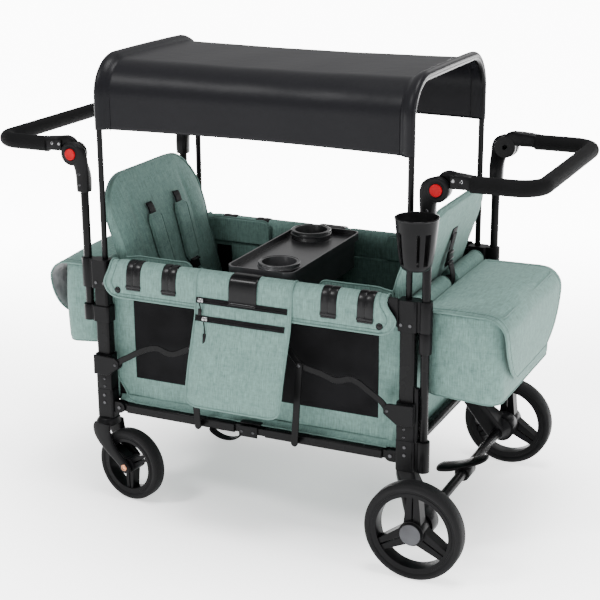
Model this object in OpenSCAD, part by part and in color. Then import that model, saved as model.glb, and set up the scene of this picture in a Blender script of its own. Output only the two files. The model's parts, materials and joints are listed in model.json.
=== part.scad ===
// Folding stroller wagon: two facing seats, a canopy on two hoops,
// a push handle and a bag at each end, casters in front, braked wheels at the rear.
// Millimetres. +X points to the rear, +Y to the right-hand side, +Z up, floor at Z = 0.

/* [Frame] */
// Distance between the front and rear posts, centre to centre
post_gap = 732; // [690:2:800]
// Width of a post along the wagon
post_w = 34; // [30:1:36]
// Depth of a post across the wagon
post_d = 24; // [22:1:26]
// Wall of the post tubes
post_wall = 1.6; // [1.2:0.1:2.5]
// Height of the post feet above the floor
post_foot = 203; // [199:1:205]
// Height of the post tops above the floor
post_top = 551; // [547:1:555]
// Wall of the corner brackets around the posts
bracket_wall = 4; // [3:0.5:5]
// Underside of the upper corner brackets
upper_low = 499; // [491:1:507]
// Top of the upper corner brackets
upper_top = 565; // [561:1:571]
// Underside of the lower corner brackets
lower_low = 191; // [189:1:193]
// Top of the lower corner brackets
lower_top = 259; // [251:1:267]
// Underside of the collars that carry the side braces
collar_low = 296; // [286:1:301]
// Top of the collars that carry the side braces
collar_top = 343; // [339:1:351]
// Underside of the lower handle guides of the front posts
guide_low = 421; // [400:1:430]
// Diameter of the end cross tubes
cross_d = 22; // [18:1:24]
// Height of the upper end cross tubes
cross_top_z = 539; // [531:1:543]
// Height of the lower end cross tubes
cross_low_z = 233; // [229:1:241]

/* [Folding sides] */
// Height of the top rails
rail_z = 543; // [539:1:547]
// Diameter of the top rails
rail_d = 22; // [18:1:22]
// Height of the bottom rails
bottom_z = 217; // [213:1:219]
// Height of the bottom rail section
bottom_h = 22; // [18:1:22]
// Width of the bottom rail section
bottom_w = 18; // [16:1:20]
// Wall of the rail tubes
rail_wall = 1.6; // [1.2:0.1:2.5]
// Distance from a post centre to its rail hinges
hinge_in = 34; // [32:1:38]
// Diameter of the hinge pins
pin_d = 8; // [6:0.5:9]
// Running clearance of the hinge pins, on the radius
pin_play = 0.05; // [0.02:0.01:0.08]
// Thickness of the hinge tongues
tongue_t = 7; // [5:0.5:8]
// Width of the side braces
brace_w = 14; // [12:1:16]
// Thickness of the side braces
brace_t = 3.5; // [3:0.5:4]
// Height of the brace pivots on the posts
brace_z = 324; // [319:1:329]
// Height of the point where the braces meet
apex_z = 507; // [499:1:509]
// Distance from the middle to the pivots of the links
link_x = 130; // [124:1:136]
// Height of the upper link pivots
link_z = 395; // [391:1:399]
// Length of the links between their eyes
link_l = 180; // [172:1:182]
// Length of a floor board along the wagon
board_l = 116; // [100:1:118]
// Thickness of the floor boards
board_t = 6; // [4:0.5:8]

/* [Middle of the sides] */
// Half length of the rail clamps in the middle
hub_hx = 33; // [28:1:34]
// Top of the rail clamps
hub_top = 571; // [569:1:575]
// Lower edge of the rail clamps
hub_low = 513; // [511:1:517]
// Thickness of the rail clamps
hub_t = 3; // [2:0.5:4]
// Length of the tray along the wagon
tray_l = 160; // [150:2:180]
// Offset of the tray to the rear
tray_x = 8; // [0:1:20]
// Depth of the tray below its rim
tray_h = 64; // [50:1:70]
// Height of the tray rim
tray_rim = 17; // [10:1:20]
// Inner diameter of the cup rings
cup_d = 76; // [66:1:78]
// Height of the cup rings above the tray
cup_h = 24; // [15:1:30]
// Width of the side pocket
pocket_w = 226; // [180:2:230]
// Height of the side pocket
pocket_h = 238; // [180:2:240]
// Thickness of the side pocket
pocket_t = 20; // [14:1:26]
// Outward lean of the side pocket in degrees
pocket_lean = 8; // [2:1:10]

/* [Handles] */
// Distance from a post centre to its handle tube
handle_in = 36; // [35:0.5:38]
// Diameter of the handle tubes
handle_d = 18.4; // [16:0.2:19]
// Height of the handle joints
joint_z = 800; // [791:1:821]
// Diameter of the handle joint discs
joint_d = 50; // [46:1:56]
// Distance from a post centre to its handle joint
joint_in = 57; // [54:1:59]
// Distance from a handle joint to the middle of its cross bar
reach = 201; // [185:1:215]
// Height of the handle bar above its joint
bar_up = 15; // [11:1:17]
// Radius of the handle bar bends
bar_bend = 50; // [42:1:66]
// Diameter of the foam grips
grip_d = 34; // [28:1:36]
// Diameter of the joint buttons
button_d = 25; // [18:1:26]

/* [Canopy] */
// Diameter of the canopy hoops
hoop_d = 13; // [11:0.5:14]
// Distance of the front hoop behind the middle of its posts
hoop_in = 8; // [2:0.5:8]
// Height of the canopy hoops
hoop_top = 1003; // [970:2:1050]
// Corner radius of the canopy hoops
hoop_bend = 80; // [66:1:96]
// Depth of the hoop ends in the brackets
hoop_plug = 60; // [40:1:80]
// Height of the canopy sides, from the hoops down
canopy_side = 148; // [120:2:180]
// Thickness of the canopy cloth
cloth_t = 1.6; // [1.2:0.1:2.4]
// Width of the hoop sleeves of the canopy
sleeve_w = 34; // [28:1:40]

/* [Wheels] */
// Diameter of the rear wheels
rear_d = 212; // [204:2:220]
// Width of the rear tyres
rear_tyre_w = 38; // [34:1:42]
// Distance between the rear wheel centre planes
track = 646; // [640:2:680]
// Distance from the rear posts back to the rear axle
axle_back = 57; // [50:1:64]
// Diameter of the front wheels
front_d = 168; // [156:2:170]
// Width of the front tyres
front_tyre_w = 34; // [30:1:36]
// Trail of the casters
trail = 63; // [58:1:66]
// Angle of the casters as photographed
caster_yaw = -8; // [-60:1:60]
// Diameter of the rear axle shaft
axle_d = 16; // [12:1:18]

/* [Seats and bags] */
// Lean of the seat backs from upright in degrees
seat_lean = 15; // [12:1:17]
// Width of the seat backs
seat_w = 400; // [364:2:404]
// Clearance between a seat back and the brackets beside it
seat_clear = 6; // [4:1:20]
// Height of the seat backs along their slope
seat_h = 402; // [370:2:420]
// Corner radius of the seat backs at the top
seat_r = 78; // [50:1:120]
// Thickness of the seat backs
seat_t = 40; // [34:1:42]
// Length of the seat pads along the wagon
pad_l = 186; // [160:2:190]
// Height of the seat pads
pad_h = 104; // [80:1:110]
// Depth of the rear bag
rear_bag_l = 168; // [150:2:178]
// Depth of the front bag
front_bag_l = 110; // [96:2:128]
// Lowest point of the bags
bag_low = 346; // [336:1:361]
// Top of the bags
bag_top = 543; // [541:1:545]
// Lower edge of the bag flaps
flap_low = 388; // [378:1:420]
// Diameter of the bolsters on the end cross tubes
roll_d = 40; // [36:1:40]

/* [Hidden] */
$fn = 64;
post_x = post_gap / 2;
post_r = 6;
fit = 0.1;
bracket_hx = post_w / 2 + bracket_wall;
bracket_hy = post_d / 2 + bracket_wall;
bracket_r = 6;
side_y = seat_w / 2 + seat_clear + bracket_hy;
hinge_x = post_x - hinge_in;
ear_r = 13;
ear_t = 5;
ear_gap = tongue_t / 2 + 0.5;
tongue_r = 9;
pin_bore = pin_d / 2 + pin_play;
tube_end = 20;
tube_mid = 38;
clevis_t = 4;
inner_y = side_y - bracket_hy;
outer_y = side_y + bracket_hy;
wall_y = inner_y - 1;
brace_y = [outer_y + 0.5, outer_y + 1 + brace_t];
link_y = outer_y + 1.5 + 2 * brace_t;
brace_x = hinge_x - 2;
link_lean = 3.8;
brace_pts = [
    [brace_x, brace_z], [brace_x - 72, brace_z + 51], [brace_x - 98, brace_z + 53],
    [brace_x - 126, brace_z + 44], [brace_x - 146, brace_z + 46],
    [link_x, link_z], [link_x - 31, link_z + 34], [0, apex_z]
];
handle_x = post_x + handle_in;
handle_r = handle_d / 2;
sleeve_r = handle_r + 4.8;
joint_x = post_x + joint_in;
bar_x = joint_x + reach;
bar_z = joint_z + bar_up;
bar_r = 9;
arm_l = 72;
hoop_x = [post_x - hoop_in, post_x - 2];
hoop_y = side_y - 2;
hoop_r = hoop_d / 2;
canopy_x = [hoop_x[0] + hoop_r + 1.5, hoop_x[1] + hoop_r + 1.5];
canopy_low = hoop_top - canopy_side;
axle_x = post_x + axle_back;
rear_r = rear_d / 2;
front_r = front_d / 2;
wheel_y = track / 2;
stem_r = 8;
tyre_h = 19;
floor_z = bottom_z + bottom_h / 2 + 0.3;
floor_top = floor_z + 3 + 0.3;
cover_r = 24;
tray_z = hub_top - 12;
roll_r = roll_d / 2;
end_x = post_x - 16;
lean_x = post_x - roll_r - 0.6;
bag_y = inner_y - 1;
bag_x = post_x + roll_r + 0.5;
panel_hy = wall_y - 3.4;
seat_z0 = floor_top + pad_h + 8;
flap_out = 20;

// Helpers

// The right-hand copy and its mirror image on the left
module both_sides() {
    children();
    mirror([0, 1, 0]) children();
}

// Places a rear-end piece at the rear (1) or mirrors it to the front (-1)
module at_end(end) {
    if (end > 0) children();
    if (end < 0) mirror([1, 0, 0]) children();
}

// Rectangle with round corners
module round_square(w, d, r) {
    square([w - 2 * r, d], center = true);
    square([w, d - 2 * r], center = true);
    for (x = [-1, 1], y = [-1, 1])
        translate([x * (w / 2 - r), y * (d / 2 - r)]) circle(r = r);
}

// Upright block with round corners, standing on its origin
module round_block(w, d, h, r) {
    linear_extrude(h) round_square(w, d, r);
}

// Cylinder along Y from y0 to y1
module rod_y(x, z, y0, y1, r) {
    translate([x, y0, z]) rotate([-90, 0, 0]) cylinder(r = r, h = y1 - y0);
}

// Flat outline in X and Z, given thickness from y0 to y1
module plate_y(y0, y1) {
    translate([0, y1, 0]) rotate([90, 0, 0]) linear_extrude(y1 - y0) children();
}

// Flat outline in Y and Z, given length from x0 to x1
module bar_along_x(x0, x1) {
    translate([x0, 0, 0]) rotate([90, 0, 90]) linear_extrude(x1 - x0) children();
}

// Flat strip of one width with round ends between two points
module eye_strip(a, b, w) {
    d = b - a;
    for (p = [a, b]) translate(p) circle(r = w / 2 + 0.15);
    translate(a) rotate(atan2(d[1], d[0])) translate([0, -w / 2]) square([norm(d), w]);
}

// Flat strip of one width through a row of points, mitred at its bends
function side_of(p, q) = [p[1] - q[1], q[0] - p[0]] / norm(q - p);
function mitre(pts, i, w) =
    let (n = len(pts) - 1)
    let (a = side_of(pts[max(i - 1, 0)], pts[max(i, 1)]))
    let (b = side_of(pts[min(i, n - 1)], pts[min(i + 1, n)]))
    (a + b) * (w / 2) / (1 + a * b);
module bent_strip(pts, w) {
    n = len(pts) - 1;
    left = [for (i = [0 : n]) pts[i] + mitre(pts, i, w)];
    right = [for (i = [n : -1 : 0]) pts[i] - mitre(pts, i, w)];
    polygon(concat(left, right));
}

// Outline of a cushion with two corner radii and sides drawn in a little
function arc(cx, cy, r, a0, n) = [
    for (i = [0 : n])
        let (a = a0 + 90 * i / n)
        [cx + r * cos(a), cy + r * sin(a)]
];
function side_row(a, b, pull, n) = [
    for (i = [1 : n - 1])
        let (t = i / n, d = b - a, q = [-d[1], d[0]] / norm(d))
        a + d * t + q * pull * sin(180 * t)
];
function outline(w, h, rt, rb, pull) = concat(
    arc(-w / 2 + rb, rb, rb, 180, 4), side_row([-w / 2 + rb, 0], [w / 2 - rb, 0], pull, 6),
    arc(w / 2 - rb, rb, rb, 270, 4), side_row([w / 2, rb], [w / 2, h - rt], pull, 6),
    arc(w / 2 - rt, h - rt, rt, 0, 4), side_row([w / 2 - rt, h], [-w / 2 + rt, h], pull, 6),
    arc(-w / 2 + rt, h - rt, rt, 90, 4), side_row([-w / 2, h - rt], [-w / 2, rb], pull, 6)
);

// Cushion over an outline: edge thickness plus a crown on the upper and the lower face
module cushion(pts, mid, edge, crown_up, crown_low) {
    n = len(pts);
    steps = [0.28, 0.55, 0.78, 0.93, 1];
    m = len(steps);
    function level(s, c) = c * (1 - pow(s, 2.4));
    up = [for (s = steps) for (p = pts)
        concat(mid + (p - mid) * s, edge / 2 + level(s, crown_up) - 3 * pow(s, 8))];
    low = [for (s = steps) for (p = pts)
        concat(mid + (p - mid) * s, -edge / 2 - level(s, crown_low) + 3 * pow(s, 8))];
    all = concat(up, low, [concat(mid, edge / 2 + crown_up)], [concat(mid, -edge / 2 - crown_low)]);
    tops = [for (j = [0 : m - 2]) for (i = [0 : n - 1]) let (k = (i + 1) % n)
        each [[j * n + i, (j + 1) * n + k, (j + 1) * n + i], [j * n + i, j * n + k, (j + 1) * n + k]]];
    lows = [for (f = tops) [f[0] + m * n, f[2] + m * n, f[1] + m * n]];
    edges = [for (i = [0 : n - 1]) let (k = (i + 1) % n, a = (m - 1) * n, b = (2 * m - 1) * n)
        each [[a + i, a + k, b + k], [a + i, b + k, b + i]]];
    caps = [for (i = [0 : n - 1]) let (k = (i + 1) % n)
        each [[2 * m * n, k, i], [2 * m * n + 1, m * n + i, m * n + k]]];
    polyhedron(all, concat(tops, lows, edges, caps));
}

// Hollow of a post with its clearance
module post_hole(z0, z1) {
    translate([post_x, side_y, z0]) round_block(post_w + 2 * fit, post_d + 2 * fit, z1 - z0, post_r);
}

// Block of a bracket around a post, with the sleeve of the handle tube if asked for
module bracket_block(z0, z1, sleeve) {
    translate([post_x, side_y, z0]) round_block(2 * bracket_hx, 2 * bracket_hy, z1 - z0, bracket_r);
    if (sleeve) {
        translate([handle_x, side_y, z0]) cylinder(r = sleeve_r, h = z1 - z0);
        translate([post_x, side_y - 10, z0]) cube([handle_in, 20, z1 - z0]);
    }
}

// Pair of ears that hold a rail hinge at height z
module hinge_ears(z) {
    for (s = [-1, 1]) {
        y = side_y + s * (ear_gap + ear_t / 2);
        rod_y(hinge_x, z, y - ear_t / 2, y + ear_t / 2, ear_r);
        translate([hinge_x, y - ear_t / 2, z - ear_r]) cube([hinge_in - bracket_hx + 2, ear_t, 2 * ear_r]);
    }
}

// Frame ends

// Main posts, handle tubes and the two cross tubes of one end
module frame_tubes(end) {
    low = end > 0 ? post_foot : guide_low + 4;
    color("#1b1b1c") at_end(end) {
        both_sides() {
            translate([post_x, side_y, post_foot]) difference() {
                round_block(post_w, post_d, post_top - post_foot, post_r);
                translate([0, 0, -1]) round_block(
                    post_w - 2 * post_wall, post_d - 2 * post_wall,
                    post_top - post_foot + 2, post_r - post_wall
                );
            }
            translate([handle_x, side_y, low]) difference() {
                cylinder(r = handle_r, h = joint_z - 37 - low);
                translate([0, 0, -1]) cylinder(r = handle_r - post_wall, h = joint_z - 35 - low);
            }
        }
        for (z = [cross_top_z, cross_low_z]) difference() {
            rod_y(post_x, z, -inner_y, inner_y, cross_d / 2);
            rod_y(post_x, z, -inner_y - 1, inner_y + 1, cross_d / 2 - post_wall);
        }
    }
}

// Upper corner brackets; the front ones have a second guide lower down
module upper_brackets(end) {
    color("#232324") at_end(end) both_sides() {
        difference() {
            union() {
                bracket_block(upper_low, upper_top, true);
                hinge_ears(rail_z);
            }
            post_hole(upper_low - 1, post_top + fit);
            translate([handle_x, side_y, upper_low - 1]) cylinder(r = handle_r + fit, h = 90);
            translate([hoop_x[end > 0 ? 1 : 0], hoop_y, post_top - 1]) cylinder(r = hoop_r + fit, h = 40);
            rod_y(hinge_x, rail_z, side_y - 20, side_y + 20, pin_bore);
        }
        if (end < 0) difference() {
            bracket_block(guide_low, guide_low + 36, true);
            post_hole(guide_low - 1, guide_low + 37);
            translate([handle_x, side_y, guide_low + 4 - fit]) cylinder(r = handle_r + fit, h = 50);
        }
    }
}

// Lower corner brackets and the collars of the side braces
module lower_brackets(end) {
    color("#232324") at_end(end) both_sides() {
        difference() {
            union() {
                bracket_block(lower_low, lower_top, end > 0);
                hinge_ears(bottom_z);
            }
            post_hole(post_foot - fit, lower_top + 1);
            if (end > 0)
                translate([handle_x, side_y, post_foot - fit]) cylinder(r = handle_r + fit, h = 90);
            if (end < 0)
                translate([post_x, side_y, lower_low - 1]) cylinder(r = stem_r + pin_play, h = 20);
            rod_y(hinge_x, bottom_z, side_y - 20, side_y + 20, pin_bore);
        }
        difference() {
            union() {
                bracket_block(collar_low, collar_top, false);
                rod_y(brace_x, brace_z, outer_y - 8, brace_y[end > 0 ? 1 : 0] - 0.5, 11);
                translate([brace_x, outer_y - 8, brace_z - 11]) cube([20, 8, 22]);
            }
            post_hole(collar_low - 1, collar_top + 1);
            rod_y(brace_x, brace_z, outer_y - 12, outer_y + 20, pin_bore);
        }
    }
}

// Hinge pins, brace rivets and the visible screw heads of one end
module fasteners(end) {
    by = brace_y[end > 0 ? 1 : 0];
    color("#8d8f92") at_end(end) both_sides() {
        for (z = [rail_z, bottom_z])
            rod_y(hinge_x, z, side_y - ear_gap - ear_t - 2, side_y + ear_gap + ear_t + 2, pin_d / 2);
        rod_y(brace_x, brace_z, outer_y - 9, by + brace_t + 0.6, pin_d / 2);
        rod_y(brace_x, brace_z, by + brace_t + 0.4, by + brace_t + 2, pin_d / 2 + 1.5);
        for (x = [post_x - 12, post_x + 8]) rod_y(x, upper_low + 14, outer_y, outer_y + 1.4, 3.4);
        for (z = [lower_top - 14, lower_top - 32]) rod_y(post_x, z, outer_y, outer_y + 1.4, 3.4);
        rod_y(post_x + 10, collar_low + 24, outer_y, outer_y + 1.4, 3.4);
    }
}

// Folding sides

// One half of the top rails: tube, end tongue and middle hinge
module top_rails(end) {
    color("#1b1b1c") at_end(end) both_sides() difference() {
        union() {
            bar_along_x(tube_mid, hinge_x - tube_end) translate([side_y, rail_z]) difference() {
                circle(r = rail_d / 2);
                circle(r = rail_d / 2 - rail_wall);
            }
            for (x = [tube_mid, hinge_x - tube_end - 5])
                bar_along_x(x, x + 5) translate([side_y, rail_z]) circle(r = rail_d / 2);
            rail_tongues(end, rail_z);
        }
        rod_y(hinge_x, rail_z, side_y - 20, side_y + 20, pin_bore);
        rod_y(0, rail_z, side_y - 20, side_y + 20, pin_bore);
    }
}

// Hinge tongues of a rail half at height z; the rear half carries a fork in the middle
module rail_tongues(end, z) {
    t = tongue_t / 2;
    plate_y(side_y - t, side_y + t) translate([0, z])
        eye_strip([hinge_x - tube_end - 2, 0], [hinge_x, 0], 2 * tongue_r);
    if (end < 0) plate_y(side_y - t, side_y + t) translate([0, z])
        eye_strip([0, 0], [tube_mid + 2, 0], 2 * tongue_r);
    if (end > 0) for (y = [side_y - t - 0.5 - clevis_t, side_y + t + 0.5])
        plate_y(y, y + clevis_t) translate([0, z])
            eye_strip([0, 0], [tube_mid + 2, 0], 2 * tongue_r - 3);
}

// One half of the bottom rails
module bottom_rails(end) {
    color("#1b1b1c") at_end(end) both_sides() difference() {
        union() {
            bar_along_x(tube_mid, hinge_x - tube_end) translate([side_y, bottom_z]) difference() {
                round_square(bottom_w, bottom_h, 4);
                round_square(bottom_w - 2 * rail_wall, bottom_h - 2 * rail_wall, 4 - rail_wall);
            }
            for (x = [tube_mid, hinge_x - tube_end - 5])
                bar_along_x(x, x + 5) translate([side_y, bottom_z]) round_square(bottom_w, bottom_h, 4);
            rail_tongues(end, bottom_z);
        }
        rod_y(hinge_x, bottom_z, side_y - 20, side_y + 20, pin_bore);
        rod_y(0, bottom_z, side_y - 20, side_y + 20, pin_bore);
    }
    color("#8d8f92") if (end > 0) both_sides()
        rod_y(0, bottom_z, side_y - ear_gap - 6, side_y + ear_gap + 6, pin_d / 2);
}

// Floor board of one half, lying on the tub cloth
module floor_board(end) {
    color("#3a3c3a") at_end(end) translate([8 + board_l / 2, 0, floor_top])
        round_block(board_l, 2 * panel_hy, board_t, 12);
}

// Wavy side brace of one half
module braces(end) {
    y = brace_y[end > 0 ? 1 : 0];
    color("#1b1b1c") at_end(end) both_sides() difference() {
        plate_y(y, y + brace_t) union() {
            bent_strip(brace_pts, brace_w);
            for (p = [brace_pts[0], [link_x, link_z], [0, apex_z]]) translate(p) circle(r = brace_w / 2 + 2);
        }
        rod_y(brace_x, brace_z, y - 1, y + brace_t + 1, pin_bore);
        rod_y(link_x, link_z, y - 1, y + brace_t + 1, pin_bore);
    }
}

// Upright link between a brace and the bottom rail, with its rivet and foot boss
module links(end) {
    y = brace_y[end > 0 ? 1 : 0];
    foot = [link_x - link_l * sin(link_lean), link_z - link_l * cos(link_lean)];
    color("#1b1b1c") at_end(end) both_sides() {
        plate_y(link_y, link_y + brace_t) eye_strip([link_x, link_z], foot, brace_w + 1);
        rod_y(link_x, link_z, y, link_y + 1, pin_d / 2);
        rod_y(foot[0], foot[1], side_y + bottom_w / 2 + 0.5, link_y + 1, 6);
    }
}

// Clamps over the middle of the top rails, with the middle hinge pins and the tray ledges
module rail_hubs() {
    color("#202021") both_sides() {
        difference() {
            union() {
                bar_along_x(-hub_hx, hub_hx) difference() {
                    translate([side_y - 30, hub_low]) square([60, hub_top - hub_low]);
                    translate([side_y - 30 + hub_t, hub_low - 1])
                        square([60 - 2 * hub_t, hub_top - hub_low - hub_t + 1]);
                }
                translate([-25, side_y - 44, tray_z - 4.3]) cube([50, 16, 4]);
            }
            rod_y(0, rail_z, side_y - 40, side_y + 40, pin_bore);
        }
        rod_y(0, rail_z, side_y - 31, side_y + 31, pin_d / 2);
    }
}

// Padded rail covers with their hanging flaps
module rail_covers() {
    color("#7d8a76") for (end = [-1, 1]) at_end(end) both_sides() difference() {
        bar_along_x(hub_hx + 2, hinge_x - ear_r - 1) {
            translate([side_y, rail_z]) circle(r = cover_r);
            translate([side_y + cover_r - 10, upper_low - 9]) square([10, rail_z - upper_low + 9]);
        }
        bar_along_x(hub_hx + 1, hinge_x) translate([side_y, rail_z]) circle(r = rail_d / 2 + 0.3);
    }
}

// Tray with rim, skirt and two cup wells set on the diagonal
module tray() {
    hy = side_y - 46;
    rim_hy = side_y - 31;
    color("#2a2b2c") translate([tray_x, 0, 0]) difference() {
        union() {
            translate([0, 0, tray_z]) round_block(tray_l, 2 * rim_hy, tray_rim, 22);
            translate([0, 0, tray_z - tray_h]) round_block(tray_l - 10, 2 * hy, tray_h + 1, 18);
            for (s = [-1, 1]) translate([-s * 24, s * (hy - 40), tray_z])
                cylinder(r = cup_d / 2 + 8, h = cup_h);
        }
        difference() {
            translate([0, 0, tray_z + 4]) round_block(tray_l - 8, 2 * rim_hy - 8, 60, 18);
            for (s = [-1, 1]) translate([-s * 24, s * (hy - 40), tray_z])
                cylinder(r = cup_d / 2 + 8, h = cup_h);
        }
        difference() {
            translate([0, 0, tray_z - tray_h - 1]) round_block(tray_l - 16, 2 * hy - 6, tray_h - 2, 15);
            for (s = [-1, 1]) translate([-s * 24, s * (hy - 40), tray_z - tray_h])
                cylinder(r = cup_d / 2 + 3, h = tray_h);
        }
        for (s = [-1, 1]) translate([-s * 24, s * (hy - 40), tray_z - tray_h + 6])
            cylinder(r = cup_d / 2, h = tray_h + cup_h);
    }
}

// Pocket hung on the left-hand rail clamp
module side_pocket() {
    color("#7d8a76") translate([0, -side_y - 30.3, hub_low - 0.2]) rotate([-pocket_lean, 0, 0])
        mirror([0, 1, 0]) translate([0, 0, -pocket_h / 2]) plate_y(0, pocket_t)
            round_square(pocket_w, pocket_h, 26);
}

// Handles

// Lower halves of the handle joints, fixed on the handle tubes, with the pivot stud
module handle_housings(end) {
    color("#202021") at_end(end) both_sides() difference() {
        union() {
            translate([handle_x, side_y, joint_z - 74]) cylinder(r = handle_r + 3.8, h = joint_d / 2 + 12);
            rod_y(joint_x, joint_z, side_y + 1, side_y + 17, joint_d / 2);
            translate([handle_x - handle_r - 3, side_y + 1, joint_z - 50]) cube([24, 11.5, 46]);
            rod_y(joint_x, joint_z, side_y - 16, side_y + 2, 6);
        }
        translate([handle_x, side_y, joint_z - 75]) cylinder(r = handle_r + fit, h = 38 + fit);
        rod_y(joint_x, joint_z, side_y + 7, side_y + 20, button_d / 2 + 0.05);
    }
}

// Half loop of a handle in plan, as a round section of radius r
module loop_half(x0, r) {
    y = side_y;
    bar_along_x(x0, bar_x - bar_bend) translate([y, bar_z]) circle(r = r);
    translate([bar_x - bar_bend, y - bar_bend, bar_z]) rotate_extrude(angle = 90)
        translate([bar_bend, 0]) circle(r = r);
    rod_y(bar_x, bar_z, -0.01, y - bar_bend, r);
}

// Handle bar with its two joint yokes
module handle_bar(end) {
    color("#1b1b1c") at_end(end) both_sides() difference() {
        union() {
            rod_y(joint_x, joint_z, side_y - 15, side_y + 0.5, joint_d / 2 - 1);
            translate([joint_x, side_y - 13, bar_z - 10]) cube([joint_d / 2 + 4, 13.5, 22]);
            translate([joint_x + joint_d / 2 + 2, side_y - 12, bar_z - 10.5])
                cube([arm_l - joint_d / 2 - 2.5, 24, 23]);
            loop_half(joint_x + arm_l - 6, bar_r);
        }
        rod_y(joint_x, joint_z, side_y - 20, side_y + 2, 6 + pin_play);
    }
}

// Foam grip over the whole bar
module handle_grip(end) {
    color("#141415") at_end(end) both_sides() difference() {
        loop_half(joint_x + arm_l, grip_d / 2);
        loop_half(joint_x + arm_l - 1, bar_r + 0.05);
    }
}

// Round release button in a handle joint; side 1 is right, -1 is left
module joint_button(end, side) {
    color("#c4262b") at_end(end) mirror([0, side < 0 ? 1 : 0, 0])
        rod_y(joint_x, joint_z, side_y + 12, side_y + 20, button_d / 2);
}

// Canopy

// Hoop outline solid of radius r at distance x, its feet cut at height z0
module hoop(x, z0, r) {
    y = hoop_y;
    both_sides() {
        translate([x, y, z0]) cylinder(r = r, h = hoop_top - hoop_bend - z0);
        translate([x, y - hoop_bend, hoop_top - hoop_bend]) rotate([90, 0, 90])
            rotate_extrude(angle = 90) translate([hoop_bend, 0]) circle(r = r);
        rod_y(x, hoop_top, -0.01, y - hoop_bend, r);
    }
}

// Canopy hoop of one end
module bow(end) {
    x = hoop_x[end > 0 ? 1 : 0];
    color("#1b1b1c") at_end(end) difference() {
        hoop(x, upper_top - hoop_plug, hoop_r);
        hoop(x, upper_top - hoop_plug - 1, hoop_r - 1.2);
    }
}

// Arch outline in Y and Z at distance d outside the hoop centre line, cut at height z0
module arch(d, z0) {
    w = hoop_y + d;
    r = hoop_bend + d;
    intersection() {
        union() {
            translate([-w, z0]) square([2 * w, hoop_top + d - r - z0]);
            translate([-w + r, z0]) square([2 * w - 2 * r, hoop_top + d - z0]);
            for (s = [-1, 1]) translate([s * (w - r), hoop_top + d - r]) circle(r = r);
        }
        translate([-w, z0]) square([2 * w, hoop_top + d - z0]);
    }
}

// Canopy cloth with a thicker hoop sleeve at each end
module canopy() {
    d = hoop_r + 0.4;
    x0 = -canopy_x[0];
    x1 = canopy_x[1];
    color("#2b2c2e") difference() {
        union() {
            bar_along_x(x0 + 1, x1 - 1) arch(d + cloth_t, canopy_low);
            for (x = [x0, x1 - sleeve_w])
                bar_along_x(x, x + sleeve_w) arch(d + 2 * cloth_t, canopy_low);
        }
        bar_along_x(x0 - 1, x1 + 1) arch(d, canopy_low - 1);
    }
}

// Cloth parts

// Tub: floor cloth and the two side walls
module tub_fabric() {
    color("#7d8a76") bar_along_x(-end_x + 0.4, end_x - 0.4) difference() {
        translate([-wall_y, floor_z]) square([2 * wall_y, rail_z - cover_r - 0.6 - floor_z]);
        translate([-wall_y + 3, floor_z + 3]) square([2 * wall_y - 6, 400]);
    }
}

// End wall of the tub with the padded bolsters around the upper cross tube
module end_panel(end) {
    color("#7d8a76") at_end(end) {
        translate([end_x, -panel_hy, floor_z]) cube([4, 2 * panel_hy, cross_top_z - floor_z]);
        both_sides() difference() {
            rod_y(post_x, cross_top_z, 20, inner_y - 4, roll_r);
            rod_y(post_x, cross_top_z, 19, inner_y, cross_d / 2 + 0.3);
        }
    }
}

// Seat pad with a crown, standing on the tub floor
module seat_pad(end) {
    mid = [0, panel_hy];
    color("#7d8a76") at_end(end) translate([end_x - 4 - pad_l, 0, floor_top + pad_h / 2])
        translate([pad_l / 2, -panel_hy, 0])
            cushion(outline(pad_l, 2 * panel_hy, 26, 26, 2), mid, pad_h - 14, 14 - 7, 7);
}

// Leaning seat back with rounded shoulders and a crown
module seat_back(end) {
    x = lean_x - (cross_top_z - seat_z0) * tan(seat_lean);
    mid = [0, seat_h * 0.5];
    color("#7d8a76") at_end(end) translate([x, 0, seat_z0]) rotate([0, seat_lean, 0])
        translate([-seat_t / 2 - 0.5, 0, 0]) rotate([90, 0, 90])
            cushion(outline(seat_w, seat_h, seat_r, 30, 4), mid, seat_t - 12, 6, 6);
}

// Storage bag of one end, open at the top
module bag(end) {
    l = end > 0 ? rear_bag_l : front_bag_l;
    color("#7d8a76") at_end(end) translate([bag_x + l / 2, 0, bag_low]) difference() {
        round_block(l, 2 * bag_y, bag_top - bag_low, 22);
        translate([0, 0, 5]) round_block(l - 8, 2 * bag_y - 8, bag_top - bag_low, 18);
    }
}

// Flap over the top and the outer face of a bag
module bag_flap(end) {
    l = (end > 0 ? rear_bag_l : front_bag_l) + flap_out;
    x0 = bag_x + 4;
    x1 = bag_x + l;
    z = bag_top + 0.5;
    r = flap_out + 2;
    color("#7d8a76") at_end(end) plate_y(-bag_y + 4, bag_y - 4) difference() {
        union() {
            translate([x0, z]) square([x1 - r - x0, 4]);
            translate([x1 - r, z + 4 - r]) circle(r = r);
            translate([x1 - 4, flap_low]) square([4, z + 4 - r - flap_low]);
        }
        translate([x1 - r, z + 4 - r]) circle(r = r - 4);
        translate([x1 - 2 * r - 1, z - 60]) square([r + 1, 60]);
        translate([x1 - 2 * r - 1, z - 90]) square([2 * r - 3, 90 - r + 4]);
    }
}

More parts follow.
